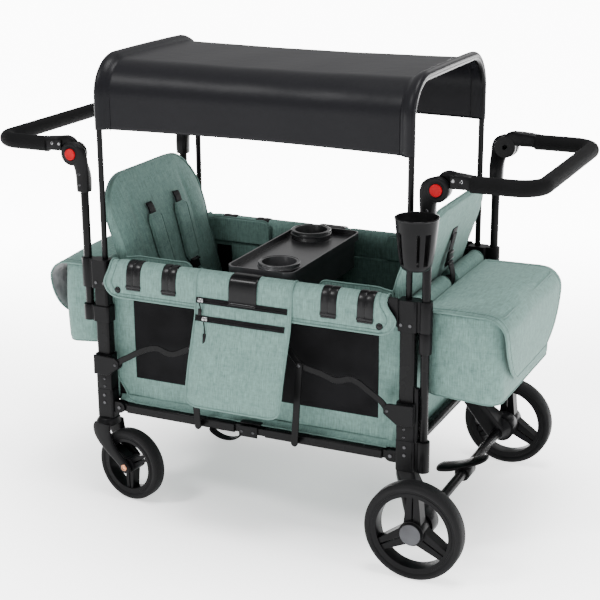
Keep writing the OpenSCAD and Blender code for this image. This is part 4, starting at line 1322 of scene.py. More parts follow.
class WAGON_OT_ends(bpy.types.Operator):
    """End panels and the bolsters on the upper cross tubes"""

    bl_idname = "wagon.ends"
    bl_label = "End panels"

    tube = (POST_X, 539.0)

    def execute(self, context):
        for end, s in ENDS.items():
            body = f"{end}_end"

            def place(u, v):
                y, z = (u - 0.5) * 2 * 202.5, 232 + v * 300
                pull = 2.2 * math.sin(y / 29) * bell(v - 0.93, 0.16)
                return s * (350.5 + 3.0 * math.sin(math.pi * v) * math.cos(y / 140) + pull
                            + 6 * ease((v - 0.9) / 0.1)), y, z

            obj = piece(f"{end}_end_cloth", facing(cloth_grid(60, 44, place), (s, 0, 0)), "sage", body)
            thick(obj, 2.4)
            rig.replaces(obj, f"{end}_end_panel")
            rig.sheet(obj, (0.415, 0.31), "hung", [body], 0.415 * 0.31 * 0.97)
            for side, t in SIDES.items():
                self.bolster(f"{end}_{side}_bolster", s, t, body)
            self.sleeve(f"{end}_tube_sleeve", s, body)
        return {"FINISHED"}

    def bolster(self, name, s, t, body):
        first, last, radius = 21.0, 201.0, 20.2
        profile = [(first, 10.0), (first - 0.6, 14.5), (first + 0.6, 18.0), (first + 4, 19.6)]
        profile += [(first + 4 + (last - first - 8) * k / 24, radius + 0.5 * math.sin(math.pi * k / 24))
                    for k in range(1, 24)]
        profile += [(last - 4, 19.6), (last - 0.6, 17.8), (last + 0.6, 14.5), (last, 10.0)]
        bm = turned(bmesh.new(), profile, (s * self.tube[0], 0, self.tube[1]), (0, t, 0), 48)
        for vert in bm.verts:
            run = abs(vert.co.y) - first
            turn = math.atan2(vert.co.z - self.tube[1], s * (vert.co.x - s * self.tube[0]))
            fade = math.exp(-run / 20) + math.exp(-(last - first - run) / 16)
            crease = 0.9 * math.sin(5 * turn + run / 14) * fade
            out = Vector((vert.co.x - s * self.tube[0], 0, vert.co.z - self.tube[1]))
            vert.co += out.normalized() * (crease + 0.5 * math.sin(run / 19 + turn))
        obj = piece(name, bm, "sage", body, sharp=70)
        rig.padded(obj, 0.8)
        for run in (first + 2.5, last - 2.5):
            ring = [(s * self.tube[0] + 19.9 * math.cos(a), t * run, self.tube[1] + 19.9 * math.sin(a))
                    for a in np.linspace(0, 2 * math.pi, 40, endpoint=False)]
            sage_piping(f"{name}_piping_{run:.0f}", ring, 2.4, body, closed=True, sides=6)

    def sleeve(self, name, s, body):
        bm = turned(bmesh.new(), [(-24, 9.6), (-24, 11.6), (-8, 12.2), (8, 12.0), (24, 11.6), (24, 9.6)],
                    (s * self.tube[0], 0, self.tube[1]), (0, 1, 0), 32)
        piece(name, bm, "webbing", body)


# Seats

LEAN = math.radians(15)


def on_seat(s, across, up, out):
    """Point of a seat back: across the wagon, up its slope and out from its inner face."""
    curl = 14.0 * max(0.0, (up - 190) / 206) ** 2 if s > 0 else 0.0
    x = 293.0 + curl + up * math.sin(LEAN) - (41.0 + out) * math.cos(LEAN)
    return s * x, across, 343.6 + up * math.cos(LEAN) + (41.0 + out) * math.sin(LEAN)


SEAT_HEIGHT = {"front": 407.0, "rear": 396.0}


def seat_outline(end, inset=0.0):
    """Outline of a seat back, across and up, with large upper corners."""
    half, height, upper, lower, waist = 200.0 - inset, SEAT_HEIGHT[end] - inset, 100.0 - inset, 32.0, 5.0
    right = []
    for k in range(9):
        a = -math.pi / 2 + math.pi / 2 * k / 8
        right.append((half - 8 - lower + lower * math.cos(a), inset + lower + lower * math.sin(a)))
    for k in range(1, 16):
        t = k / 16
        right.append((half - 8 * (1 - t) ** 1.3 - waist * math.sin(math.pi * t),
                      inset + lower + t * (height - upper - lower - inset)))
    for k in range(13):
        a = math.pi / 2 * k / 12
        right.append((half - upper + upper * math.cos(a), height - upper + upper * math.sin(a)))
    return right + [(-x, y) for x, y in reversed(right)]


class WAGON_OT_seats(bpy.types.Operator):
    """Seat pads and seat backs, filled as sewn cushions, with piping"""

    bl_idname = "wagon.seats"
    bl_label = "Seats"

    def execute(self, context):
        piping = context.scene.wagon_sizes.piping
        for end, s in ENDS.items():
            self.back(end, s, piping)
            self.pad(end, s, piping)
        return {"FINISHED"}

    def back(self, end, s, piping):
        body = f"{end}_seat_back"
        bm = bmesh.new()
        ring = [bm.verts.new((x, y, 0)) for x, y in seat_outline(end, 2.5)]
        face = bm.faces.new(ring)
        top = bmesh.ops.extrude_face_region(bm, geom=[face])["geom"]
        bmesh.ops.translate(bm, vec=(0, 0, 27), verts=[g for g in top if isinstance(g, bmesh.types.BMVert)])
        bmesh.ops.recalc_face_normals(bm, faces=bm.faces)
        bm = puffed(bm, 6.0, 5.0, 6.5, 0.0)
        for vert in bm.verts:
            across, up, out = vert.co
            seam = bell(abs(across) - 118, 9) * ease((up - 30) / 40) * ease((370 - up) / 40)
            if out > 13.5:
                out -= 3.2 * seam
            thin = 1 - 0.4 * ease((up - 250) / 140)
            vert.co = on_seat(s, across, up, (out - 33.5) * thin - 38.0 * (1 - thin))
        bmesh.ops.recalc_face_normals(bm, faces=bm.faces)
        obj = piece(f"{end}_seat_back_cushion", bm, "sage", body, sharp=80)
        rounded(obj)
        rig.replaces(obj, f"{end}_seat_back")
        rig.padded(obj, 0.7)
        rim = [on_seat(s, x, y, -8.0 - 11.0 * ease((y - 250) / 140)) for x, y in seat_outline(end, 4.8)]
        sage_piping(f"{end}_seat_back_piping", rim, piping, body, closed=True)
        rim = [on_seat(s, x, y, -32.0) for x, y in seat_outline(end, 4.8)]
        sage_piping(f"{end}_seat_back_rear_piping", rim, piping * 0.8, body, closed=True)

    def pad(self, end, s, piping):
        body = f"{end}_end"
        low, high = (Vector(corner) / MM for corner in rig.box(f"{end}_seat_pad"))
        bm = bmesh.new()
        size = high - low - Vector((14, 24, 13))
        block(bm, (low + high) / 2 + Vector((0, 0, -1)), size, 16, 3)
        bm = puffed(bm, 6.0, 4.0, 6.0)
        for vert in bm.verts:
            run = (abs(vert.co.x) - 160) / 186
            if vert.co.z > 320:
                vert.co.z -= 3.5 * bell(abs(vert.co.y) - 70, 10) * math.sin(math.pi * max(0, min(1, run)))
        obj = piece(f"{end}_seat_pad_cushion", bm, "sage", body, sharp=80)
        rounded(obj)
        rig.replaces(obj, f"{end}_seat_pad")
        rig.padded(obj, 0.75)
        anchor = (s * 0.346, 0, 0)
        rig.squash(obj, "fold", (1, 0, 0), anchor, 0.5)
        x = min(abs(low.x), abs(high.x))
        hy, z = high.y - 9, high.z - 9
        rim = smooth_line([(s * (x + 170), -hy, z), (s * (x + 40), -hy, z), (s * (x + 13), -hy + 4, z),
                           (s * (x + 5), -hy + 26, z), (s * (x + 4), 0, z + 1), (s * (x + 5), hy - 26, z),
                           (s * (x + 13), hy - 4, z), (s * (x + 40), hy, z), (s * (x + 170), hy, z)], 8)
        trim = sage_piping(f"{end}_seat_pad_piping", rim, piping, body)
        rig.squash(trim, "fold", (1, 0, 0), anchor, 0.5)


class WAGON_OT_harness(bpy.types.Operator):
    """Belts, shoulder pads and buckle of each seat, and the recline strap behind it"""

    bl_idname = "wagon.harness"
    bl_label = "Harness"

    def execute(self, context):
        belt = context.scene.wagon_sizes.belt
        for end, s in ENDS.items():
            fixed, moving = f"{end}_end", f"{end}_seat_back"
            hub = Vector((s * 226, 0, 353))
            for side, t in SIDES.items():
                path = [on_seat(s, t * 62, 318, -1), on_seat(s, t * 61, 300, 3.5),
                        on_seat(s, t * 58, 240, 4.5), on_seat(s, t * 54, 170, 4.5),
                        on_seat(s, t * 46, 110, 7), on_seat(s, t * 34, 62, 17),
                        (hub.x + s * 26, t * 22, hub.z + 13), (hub.x + s * 10, t * 13, hub.z + 2)]
                obj = self.belt(f"{end}_{side}_shoulder_belt", smooth_line(path, 8), belt, None)
                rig.blend(obj, fixed, moving, Vector(on_seat(s, 0, 40, 0)) * MM,
                         Vector(on_seat(s, 0, 130, 0)) * MM)
                self.shoulder_pad(f"{end}_{side}_shoulder_pad", s, t, moving)
                path = [(s * 300, t * 176, 344), (s * 286, t * 150, 350), (s * 264, t * 100, 352),
                        (s * 240, t * 52, 352), (hub.x + s * 4, t * 20, hub.z - 2)]
                self.belt(f"{end}_{side}_lap_belt", smooth_line(path, 8), belt, fixed)
                bm = bmesh.new()
                centre = Vector(on_seat(s, t * 55, 142, 8))
                block(bm, centre, (6, belt + 8, 26), 2.2, 3, Matrix.Rotation(s * LEAN, 4, "Y"))
                block(bm, centre + Vector((-s * 2, 0, 8)), (6, belt + 10, 5), 1.8, 3,
                      Matrix.Rotation(s * LEAN, 4, "Y"))
                piece(f"{end}_{side}_adjuster", bm, "gloss", moving)
            self.belt(f"{end}_crotch_belt", smooth_line([(s * 186, 0, 343), (s * 200, 0, 349),
                                                         (hub.x - s * 6, 0, hub.z - 3)], 8), belt, fixed)
            self.buckle(f"{end}_buckle", s, hub, fixed)
            self.recline(end, s, fixed, moving)
        return {"FINISHED"}

    def belt(self, name, line, width, body):
        """Belt that lies across its own path, wide side level."""
        path = Path(line)

        def place(u, v):
            p, way = path.at(v), path.way(v, 0.03)
            wide = Vector((0, 1, 0)) - way * way.y
            if wide.length < 0.35:
                wide = Vector((1, 0, 0)) - way * way.x
            return p + wide.normalized() * (u - 0.5) * width

        obj = piece(name, cloth_grid(6, max(12, int(path.marks[-1] / 6)), place), "webbing", body)
        thick(obj, 1.8, 0.0)
        return obj

    def shoulder_pad(self, name, s, t, body):
        def place(u, v):
            up, across = 150 + 142 * v, (u - 0.5) * 56 * min(1.0, 0.72 + 3 * min(v, 1 - v))
            edge = min(1.0, 5 * min(u, 1 - u), 9 * min(v, 1 - v))
            return on_seat(s, t * (55 + 5 * v) + across, up, 7.0 + 4.5 * ease(edge))

        obj = piece(name, facing(cloth_grid(20, 40, place), (-s, 0, 0)), "sage", body, sharp=80)
        thick(obj, 5.0)
        bevelled(obj, 1.6, 3)
        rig.padded(obj, 0.6)
        rim = [place(0.06, v) for v in np.linspace(0.04, 0.96, 24)]
        rim += [place(u, 0.96) for u in np.linspace(0.15, 0.85, 8)]
        rim += [place(0.94, v) for v in np.linspace(0.96, 0.04, 24)]
        rim += [place(u, 0.04) for u in np.linspace(0.85, 0.15, 8)]
        rim = [(x - s * 1.0, y, z + 0.3) for x, y, z in rim]
        sage_piping(f"{name}_edge", rim, 2.6, body, closed=True, sides=6)

    def buckle(self, name, s, hub, body):
        tilt = Matrix.Rotation(-s * 0.18, 4, "Y")
        bm = bmesh.new()
        block(bm, hub, (42, 40, 13), 5.0, 4, tilt)
        block(bm, hub + Vector((s * 22, 0, 3)), (16, 32, 9), 3.0, 3, tilt)
        piece(name, bm, "gloss", body)
        bm = bmesh.new()
        block(bm, hub + Vector((-s * 3, 0, 6.2)), (17, 17, 5), 2.0, 3, tilt)
        piece(f"{name}_press", bm, "moulding", body)

    def recline(self, end, s, fixed, moving):
        """Strap from the back of the seat down to the cross tube, with a ladder buckle."""
        anchor = [on_seat(s, 0, 318, -44), on_seat(s, 0, 300, -46), on_seat(s, 0, 250, -50),
                  (s * 372, 0, 590), (s * 380, 0, 566), (s * 381, 0, 545), (s * 377, 0, 529)]
        line = smooth_line(anchor, 8)
        obj = ribbon(f"{end}_recline_strap", line, (0, 1, 0), 26, "webbing", None, thickness=2.4)
        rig.blend(obj, fixed, moving, Vector((s * 378, 0, 556)) * MM, Vector(on_seat(s, 0, 235, -48)) * MM)
        bm = bmesh.new()
        centre = Vector(on_seat(s, 0, 262, -51))
        turn = Matrix.Rotation(s * LEAN, 4, "Y")
        block(bm, centre, (6, 30, 34), 2.4, 3, turn)
        for k in (-10, 0, 10):
            block(bm, centre + Vector((s * 3, 0, k)), (5, 29, 4.5), 1.7, 3, turn)
        piece(f"{end}_recline_buckle", bm, "moulding", moving)
        bm = bmesh.new()
        block(bm, on_seat(s, 0, 318, -42), (2.2, 30, 26), 0.9, 2, turn)
        piece(f"{end}_recline_patch", bm, "webbing", moving)


def bag_ring(low, high, corner, steps=10):
    """Rounded rectangle between two corners, as points in X and Y, with its outward normals."""
    points = []
    for cx, cy, start in ((high[0] - corner, high[1] - corner, 0), (low[0] + corner, high[1] - corner, 90),
                          (low[0] + corner, low[1] + corner, 180), (high[0] - corner, low[1] + corner, 270)):
        for k in range(steps + 1):
            a = math.radians(start + 90 * k / steps)
            points.append(((cx + corner * math.cos(a), cy + corner * math.sin(a)),
                           (math.cos(a), math.sin(a))))
    dense = []
    for (p, n), (q, m) in zip(points, points[1:] + points[:1]):
        far = math.dist(p, q)
        count = max(1, round(far / 9))
        for k in range(count):
            f = k / count
            dense.append(((p[0] + (q[0] - p[0]) * f, p[1] + (q[1] - p[1]) * f),
                          (n[0] + (m[0] - n[0]) * f, n[1] + (m[1] - n[1]) * f)))
    return dense


class WAGON_OT_bags(bpy.types.Operator):
    """Bags at the ends, as sagging shells with a silver lining, and their flaps"""

    bl_idname = "wagon.bags"
    bl_label = "Bags"

    def execute(self, context):
        for end, s in ENDS.items():
            low, high = (Vector(corner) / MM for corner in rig.box(f"{end}_bag"))
            near, far = sorted((abs(low.x), abs(high.x)))
            self.shell(end, s, near, far, high.y - 10, low.z, high.z - 8)
            low, high = (Vector(corner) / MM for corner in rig.box(f"{end}_bag_flap"))
            far_x = max(abs(low.x), abs(high.x)) + (12 if end == "front" else 0)
            self.flap(end, s, near, far_x, high.y + 2, low.z - 14, high.z)
        return {"FINISHED"}

    def shell(self, end, s, near, far, half, foot, head):
        ring = bag_ring((near, -half + 1), (far - 2, half - 1), 34.0)
        centre = ((near + far) / 2, 0.0)
        rows = [(0.05, 0), (0.25, 0), (0.5, 0), (0.72, 0), (0.86, 0.4), (0.94, 2.2), (0.98, 6.5), (1.0, 13)]
        rows += [(1.0, 13 + (head - foot - 15) * k / 22) for k in range(1, 23)]

        def place(u, v):
            (x, y), (nx, ny) = ring[round(u * len(ring)) % len(ring)]
            share, rise = rows[round(v * (len(rows) - 1))]
            wall = max(0.0, min(1.0, rise / (head - foot)))
            along_y = math.cos(math.pi * y / (2 * half))
            bulge = ((5.5 * math.sin(math.pi * wall ** 0.7) - 1.5)
                     * (0.35 + 0.65 * max(abs(nx) * along_y, abs(ny) * 0.7)))
            if x < near + 4:
                bulge = 0.0
            crease = 1.0 * math.sin(x / 16 + y / 27 + 5 * wall) * math.sin(math.pi * wall)
            sag = 5.0 * (1 - share) * along_y
            px, py = centre[0] + (x - centre[0]) * share, centre[1] + (y - centre[1]) * share
            sag += 7.0 * ease((x - near) / (far - near)) * (1 - wall)
            return s * (px + nx * (bulge + crease)), py + ny * (bulge + crease), foot + 2 + rise - sag

        bm = cloth_grid(len(ring), len(rows) - 1, place)
        bmesh.ops.remove_doubles(bm, verts=bm.verts, dist=0.01)
        bmesh.ops.recalc_face_normals(bm, faces=bm.faces)
        facing_out = sum(f.normal.dot(f.calc_center_median() - Vector((s * centre[0], 0, (foot + head) / 2)))
                         for f in bm.faces)
        if facing_out < 0:
            bmesh.ops.reverse_faces(bm, faces=bm.faces)
        obj = piece(f"{end}_bag_shell", bm, "sage", f"{end}_end", sharp=70, more=("lining",))
        modifier(obj, "SOLIDIFY", thickness=2.6 * MM, offset=-1.0, material_offset=1, material_offset_rim=0)
        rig.replaces(obj, f"{end}_bag")
        deep, wide, tall = (far - near) * MM, 2 * half * MM, (head - foot) * MM
        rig.sheet(obj, (2 * (deep + wide) * 1.06, tall * 1.04 + deep * wide / (2 * (deep + wide))), "hung",
                 [f"{end}_end"])
        for rise, diameter in ((9.0, 4.0), (head - foot - 2, 4.4)):
            share = rise / (head - foot)
            row = min(range(len(rows)), key=lambda k: abs(rows[k][1] - rise) + (1 - rows[k][0]) * 20)
            path = [place(k / len(ring), row / (len(rows) - 1)) for k in range(len(ring))]
            sage_piping(f"{end}_bag_piping_{share:.1f}", path, diameter, f"{end}_end", closed=True)

    def flap(self, end, s, near, far, half, foot, head):
        reach, wide, tall, bend = far - near - 4, 152.0, 150.0, 48.0
        profile = [(2, head - 6), (0.3 * reach, head - 3), (reach - bend - 14, head - 2.4)]
        profile += [(reach - bend * (1 - math.sin(a)), head - 3 - bend * (1 - math.cos(a)))
                    for a in np.radians((0, 20, 40, 60, 80))]
        profile += [(reach, head - bend - 24), (reach - 2, foot + 45), (reach - 7, foot)]
        path = Path(smooth_line([(x, z, 0) for x, z in profile], 8))
        length = path.marks[-1]

        def place(u, v, lift=0.0):
            p, way = path.at(v), path.way(v)
            left = (1 - v) * length
            inset = wide * (1 - math.sqrt(1 - max(0.0, 1 - left / tall) ** 2))
            y = (2 * u - 1) * (half - inset)
            side = (y / half) ** 2
            lie = 5.0 * math.sin(math.pi * min(1.0, v * 1.5)) * (0.6 - side) - 2.0 * side
            fold = 0.9 * math.sin(y / 43 + 6 * v) * math.sin(math.pi * v)
            off = lift + lie + fold
            return s * (near + p.x - way.y * off), y, p.y + way.x * off

        bm = facing(cloth_grid(64, 64, place), (s, 0, 1))
        area = area_of(bm)
        obj = piece(f"{end}_flap_cloth", bm, "sage", f"{end}_bag_flap", sharp=70, more=("lining",))
        modifier(obj, "SOLIDIFY", thickness=3.6 * MM, offset=-1.0, material_offset=1, material_offset_rim=0)
        bevelled(obj, 1.1, 2)
        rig.replaces(obj, f"{end}_bag_flap")
        flat = (2 * half * MM * 1.02, length * MM * 1.03)
        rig.sheet(obj, flat, "draped", [f"{end}_bag_shell"], area * 1.01)
        rim = [place(0.0, v, -1.8) for v in np.linspace(0.02, 1.0, 70)]
        rim += [place(u, 1.0, -1.8) for u in np.linspace(0.03, 0.97, 30)]
        rim += [place(1.0, v, -1.8) for v in np.linspace(1.0, 0.02, 70)]
        sage_piping(f"{end}_flap_binding", rim, 4.4, f"{end}_bag_flap")
        stitch = [place(0.035, v, 0.2) for v in np.linspace(0.03, 0.955, 60)]
        stitch += [place(u, 0.955, 0.2) for u in np.linspace(0.07, 0.93, 26)]
        stitch += [place(0.965, v, 0.2) for v in np.linspace(0.955, 0.03, 60)]
        cordlike(f"{end}_flap_stitch", stitch, 1.1, "thread", f"{end}_bag_flap", sides=5)


class WAGON_OT_pocket(bpy.types.Operator):
    """Side pocket that hangs over the left rail, with two zips"""

    bl_idname = "wagon.pocket"
    bl_label = "Side pocket"

    half = 113.0
    corner = 26.0

    def __init__(self, *args, **kwargs):
        super().__init__(*args, **kwargs)
        outer = [(206, 553), (211, 565), (219, 571.5), (229, 572), (239, 567), (245, 557), (248, 544),
                 (249.5, 529), (250.5, 516), (252.5, 505), (255.5, 492), (260, 474), (268, 448), (278, 416),
                 (291, 374), (302, 326), (309, 287)]
        self.path = Path(smooth_line([(y, z, 0) for y, z in outer], 6))
        self.drop = self.share_at(514)

    def share_at(self, height):
        low, high = 0.2, 1.0
        for _ in range(30):
            middle = (low + high) / 2
            if self.path.at(middle).y > height:
                low = middle
            else:
                high = middle
        return low

    def place(self, u, v, lift=0.0):
        """Point of the front panel; v runs from inside the rail over it and down to the foot."""
        p, way = self.path.at(v), self.path.way(v, 0.01)
        left = (1 - v) * self.path.marks[-1]
        inset = self.corner - math.sqrt(max(0.0, self.corner ** 2 - max(0.0, self.corner - left) ** 2))
        x = (2 * u - 1) * (self.half - inset)
        edge = min(1.0, 7 * u, 7 * (1 - u), 6 * (1 - v))
        low = max(0.0, v - self.drop) / (1 - self.drop)
        fill = -4.5 * (1 - ease(edge)) * ease(low * 5)
        soft = ease(low * 3) * (2.2 * math.sin(x / 27 + 9 * v) * math.sin(8 * v)
                                + 1.4 * math.sin(x / 15 - 13 * v)) * ease(edge)
        gather = 1.2 * math.sin(x / 8.5) * bell(low - 0.13, 0.035)
        off = lift + fill + soft + gather
        return x - 5.0 * low, -(p.x - way.y * off), p.y + way.x * off

    def execute(self, context):
        piping = context.scene.wagon_sizes.piping
        length = self.path.marks[-1]
        bm = facing(cloth_grid(76, 120, self.place), (0, -1, 0))
        obj = piece("pocket_front", bm, "sage", "middle", sharp=70)
        thick(obj, 2.2)
        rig.replaces(obj, "side_pocket")
        flat = (2 * self.half * MM * 1.02, length * MM * 1.05)
        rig.sheet(obj, flat, "hung", ["left_rail_clamp"], flat[0] * flat[1] * 0.95)

        def back(u, v):
            share = self.drop + (1 - self.drop) * v
            x, y, z = self.place(u, share)
            edge = min(1.0, 6 * u, 6 * (1 - u), 5 * v, 5 * (1 - v))
            return x, y + 5.0 + 11.0 * ease(edge), z

        obj = piece("pocket_back", facing(cloth_grid(40, 60, back), (0, 1, 0)), "sage", "middle", sharp=70)
        thick(obj, 1.8)
        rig.sheet(obj, (2 * self.half * MM * 1.02, length * (1 - self.drop) * MM * 1.1), "hung",
                 ["left_rail_clamp"])
        rim = [self.place(0.0, v, -0.4) for v in np.linspace(0.0, 1.0, 110)]
        rim += [self.place(u, 1.0, -0.4) for u in np.linspace(0.02, 0.98, 40)]
        rim += [self.place(1.0, v, -0.4) for v in np.linspace(1.0, 0.0, 110)]
        sage_piping("pocket_piping", rim, piping, "middle")
        for name, height, end, slider, hang in (("upper", 511.0, 0.965, 0.06, 30.0),
                                                ("lower", 473.0, 0.95, 0.125, 60.0)):
            self.zip(name, height, end, slider, hang)
        return {"FINISHED"}

    def zip(self, name, height, end, slider, hang):
        share = self.share_at(height)
        step = 6.5 / self.path.marks[-1]

        def tape(u, v):
            return self.place(0.005 + (end - 0.005) * u, share + (2 * v - 1) * step, 1.5)

        obj = piece(f"pocket_{name}_zip", facing(cloth_grid(70, 6, tape), (0, -1, 0)), "zip", "middle",
                    sharp=70)
        thick(obj, 1.6)
        for shift in (-1.7, 1.7):
            line = [self.place(0.02 + (end - 0.04) * k / 60, share + shift / self.path.marks[-1], 2.2)
                    for k in range(61)]
            cordlike(f"pocket_{name}_coil_{'a' if shift < 0 else 'b'}", line, 2.2, "zip", "middle", sides=6)
        x, y, z = self.place(slider, share, 3.0)
        lean = Matrix.Rotation(math.radians(-8), 4, "X")
        bm = bmesh.new()
        block(bm, (x, y, z), (13, 5, 9.5), 2.0, 3, lean)
        block(bm, (x - 2, y - 3.2, z), (8, 3, 4.5), 1.2, 3, lean)
        piece(f"pocket_{name}_slider", bm, "steel", "middle")
        path = Path(smooth_line([(x - 1, y - 5, z - 3), (x + 1, y - 6, z - 10),
                                 (x + 2.5, y - 6.5, z - 0.6 * hang), (x - 1, y - 8.0, z - hang)], 6))
        bm = bmesh.new()
        pts = [path.at(k / 14) for k in range(15)]
        cordlike(f"pocket_{name}_pull_cord", pts, 2.6, "zip", "middle", sides=8)
        block(bm, path.at(0.76), (8.5, 4.0, 0.5 * hang), 1.9, 3, lean)
        piece(f"pocket_{name}_pull", bm, "gloss", "middle")


# Hard details

def lofted(bm, stations, axis, around=36, power=2.8, steps=4):
    """Adds a smooth body; a station is a place along the axis, the section's centre and its half sizes."""
    middles = smooth_line([station[:3] for station in stations], steps)
    halves = smooth_line([(station[3], station[4], 0) for station in stations], steps)
    first, second = (k for k in range(3) if k != axis)
    rings = []
    for middle, half in zip(middles, halves):
        ring = bmesh.ops.create_circle(bm, segments=around, radius=1.0)["verts"]
        for vert in ring:
            a, b = vert.co.x, vert.co.y
            vert.co[axis] = middle.x
            vert.co[first] = middle.y + math.copysign(abs(a) ** (2 / power), a) * half.x
            vert.co[second] = middle.z + math.copysign(abs(b) ** (2 / power), b) * half.y
        rings.append(list({e for v in ring for e in v.link_edges}))
    for a, b in zip(rings, rings[1:]):
        bmesh.ops.bridge_loops(bm, edges=a + b)
    for ring in (rings[0], rings[-1]):
        bmesh.ops.edgeloop_fill(bm, edges=ring)
    bmesh.ops.recalc_face_normals(bm, faces=bm.faces)
    return bm


def screw(name, centre, axis, radius, body, finish="dark_steel"):
    """Low round screw head with a socket."""
    profile = [(-2.0, radius), (0.5, radius), (1.3, radius * 0.82), (1.6, radius * 0.55),
               (0.5, radius * 0.42), (0.3, 0.0)]
    bm = turned(bmesh.new(), profile, centre, axis, 24)
    return piece(name, bm, finish, body, "screw_steel", sharp=30)


def plate(bm, outline, low, high):
    """Adds a flat plate: outline in X and Z, thickness along Y."""
    face = bm.faces.new([bm.verts.new((x, low, z)) for x, z in outline])
    top = bmesh.ops.extrude_face_region(bm, geom=[face])["geom"]
    bmesh.ops.translate(bm, vec=(0, high - low, 0),
                        verts=[g for g in top if isinstance(g, bmesh.types.BMVert)])
    bmesh.ops.recalc_face_normals(bm, faces=bm.faces)
    return bm


class WAGON_OT_handles(bpy.types.Operator):
    """Joints of the handles: sleeves, arms, button rings and screws"""

    bl_idname = "wagon.handles"
    bl_label = "Handle joints"

    joint = (423.0, 800.0)
    tube = HANDLE_X

    def execute(self, context):
        for end, s in ENDS.items():
            for side, t in SIDES.items():
                obj = self.housing(end, side, s, t)
                self.arm(end, side, s, t)
            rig.replaces(obj, f"{end}_handle_housings")
        return {"FINISHED"}

    def housing(self, end, side, s, t):
        name, body = f"{end}_{side}_joint", f"{end}_end"
        x, z = self.joint
        bm = bmesh.new()
        neck = [(716, HANDLE_X, SIDE_Y, 13, 13), (719, HANDLE_X, SIDE_Y, 15, 15),
                (745, HANDLE_X, SIDE_Y, 15.8, 15.4), (764, 402.5, 225, 16.6, 13.2),
                (780, 404.5, 229.5, 18.6, 9), (797, 407.5, 231, 21, 7.8), (811, 411, 231, 20, 7.8),
                (820, 415.5, 231, 14.5, 7.4), (824.6, 419, 231, 6, 6)]
        lofted(bm, [(h, s * cx, t * cy, a, b) for h, cx, cy, a, b in neck], 2)
        obj = piece(name, bm, "moulding", body, sharp=50)
        bm = turned(bmesh.new(),
                    [(0.9, 6), (0.9, 24), (2.4, 25.4), (14.5, 25.6), (16.6, 24.4), (17.3, 22), (17.0, 18.2),
                     (17.6, 17.2), (17.6, 14.4), (16.4, 13.1), (8, 13.0)],
                    (s * x, t * SIDE_Y, z), (0, t, 0), 64)
        piece(f"{name}_disc", bm, "moulding", body, sharp=35)
        bm = turned(bmesh.new(),
                    [(-5, 12.3), (0.2, 12.4), (1.0, 11.6), (1.3, 10.2), (0.8, 8.8), (0.5, 5), (0.4, 0)],
                    (s * x, t * 242, z), (0, t, 0), 48)
        piece(f"{name}_button_face", bm, "button", f"{end}_{side}_button", sharp=50)
        for height in (733, 757):
            screw(f"{name}_screw_{height}", (s * (self.tube + 2), t * 237.4, height), (0, t, 0), 3.4, body)
        bm = turned(bmesh.new(), [(-14, 5.5), (-13, 5.5), (-13, 7), (-15, 7.2)], (s * x, t * SIDE_Y, z),
                    (0, t, 0), 32)
        piece(f"{name}_pin", bm, "dark_steel", body)
        return obj

    def arm(self, end, side, s, t):
        name, body = f"{end}_{side}_arm", f"{end}_handle"
        bm = bmesh.new()
        run = [(418, 214.5, 812, 6, 9), (427, 214.8, 817, 7.2, 15), (440, 215.2, 820.4, 7.4, 16.4),
               (450, 217.4, 820.6, 9.6, 16), (459, 221, 820, 12.4, 15.6), (474, SIDE_Y, 819, 12.9, 15.4),
               (488, SIDE_Y, 817.4, 12.9, 15.4), (493, SIDE_Y, 816.6, 12.2, 14.8)]
        lofted(bm, [(s * x, t * y, z, a, b) for x, y, z, a, b in run], 0, power=3.6)
        piece(name, bm, "moulding", body, sharp=50)
        bm = turned(bmesh.new(),
                    [(489, 12), (489, 16.2), (490, 17.4), (496, 17.8), (497.5, 17.2), (497.5, 12)],
                    (0, t * SIDE_Y, 815.4), (s, 0, 0), 40)
        piece(f"{name}_collar", bm, "grip", body)
        for x in (455, 473):
            screw(f"{name}_screw_{x}", (s * x, t * 234.2, 820), (0, t, 0), 3.4, body, "steel")


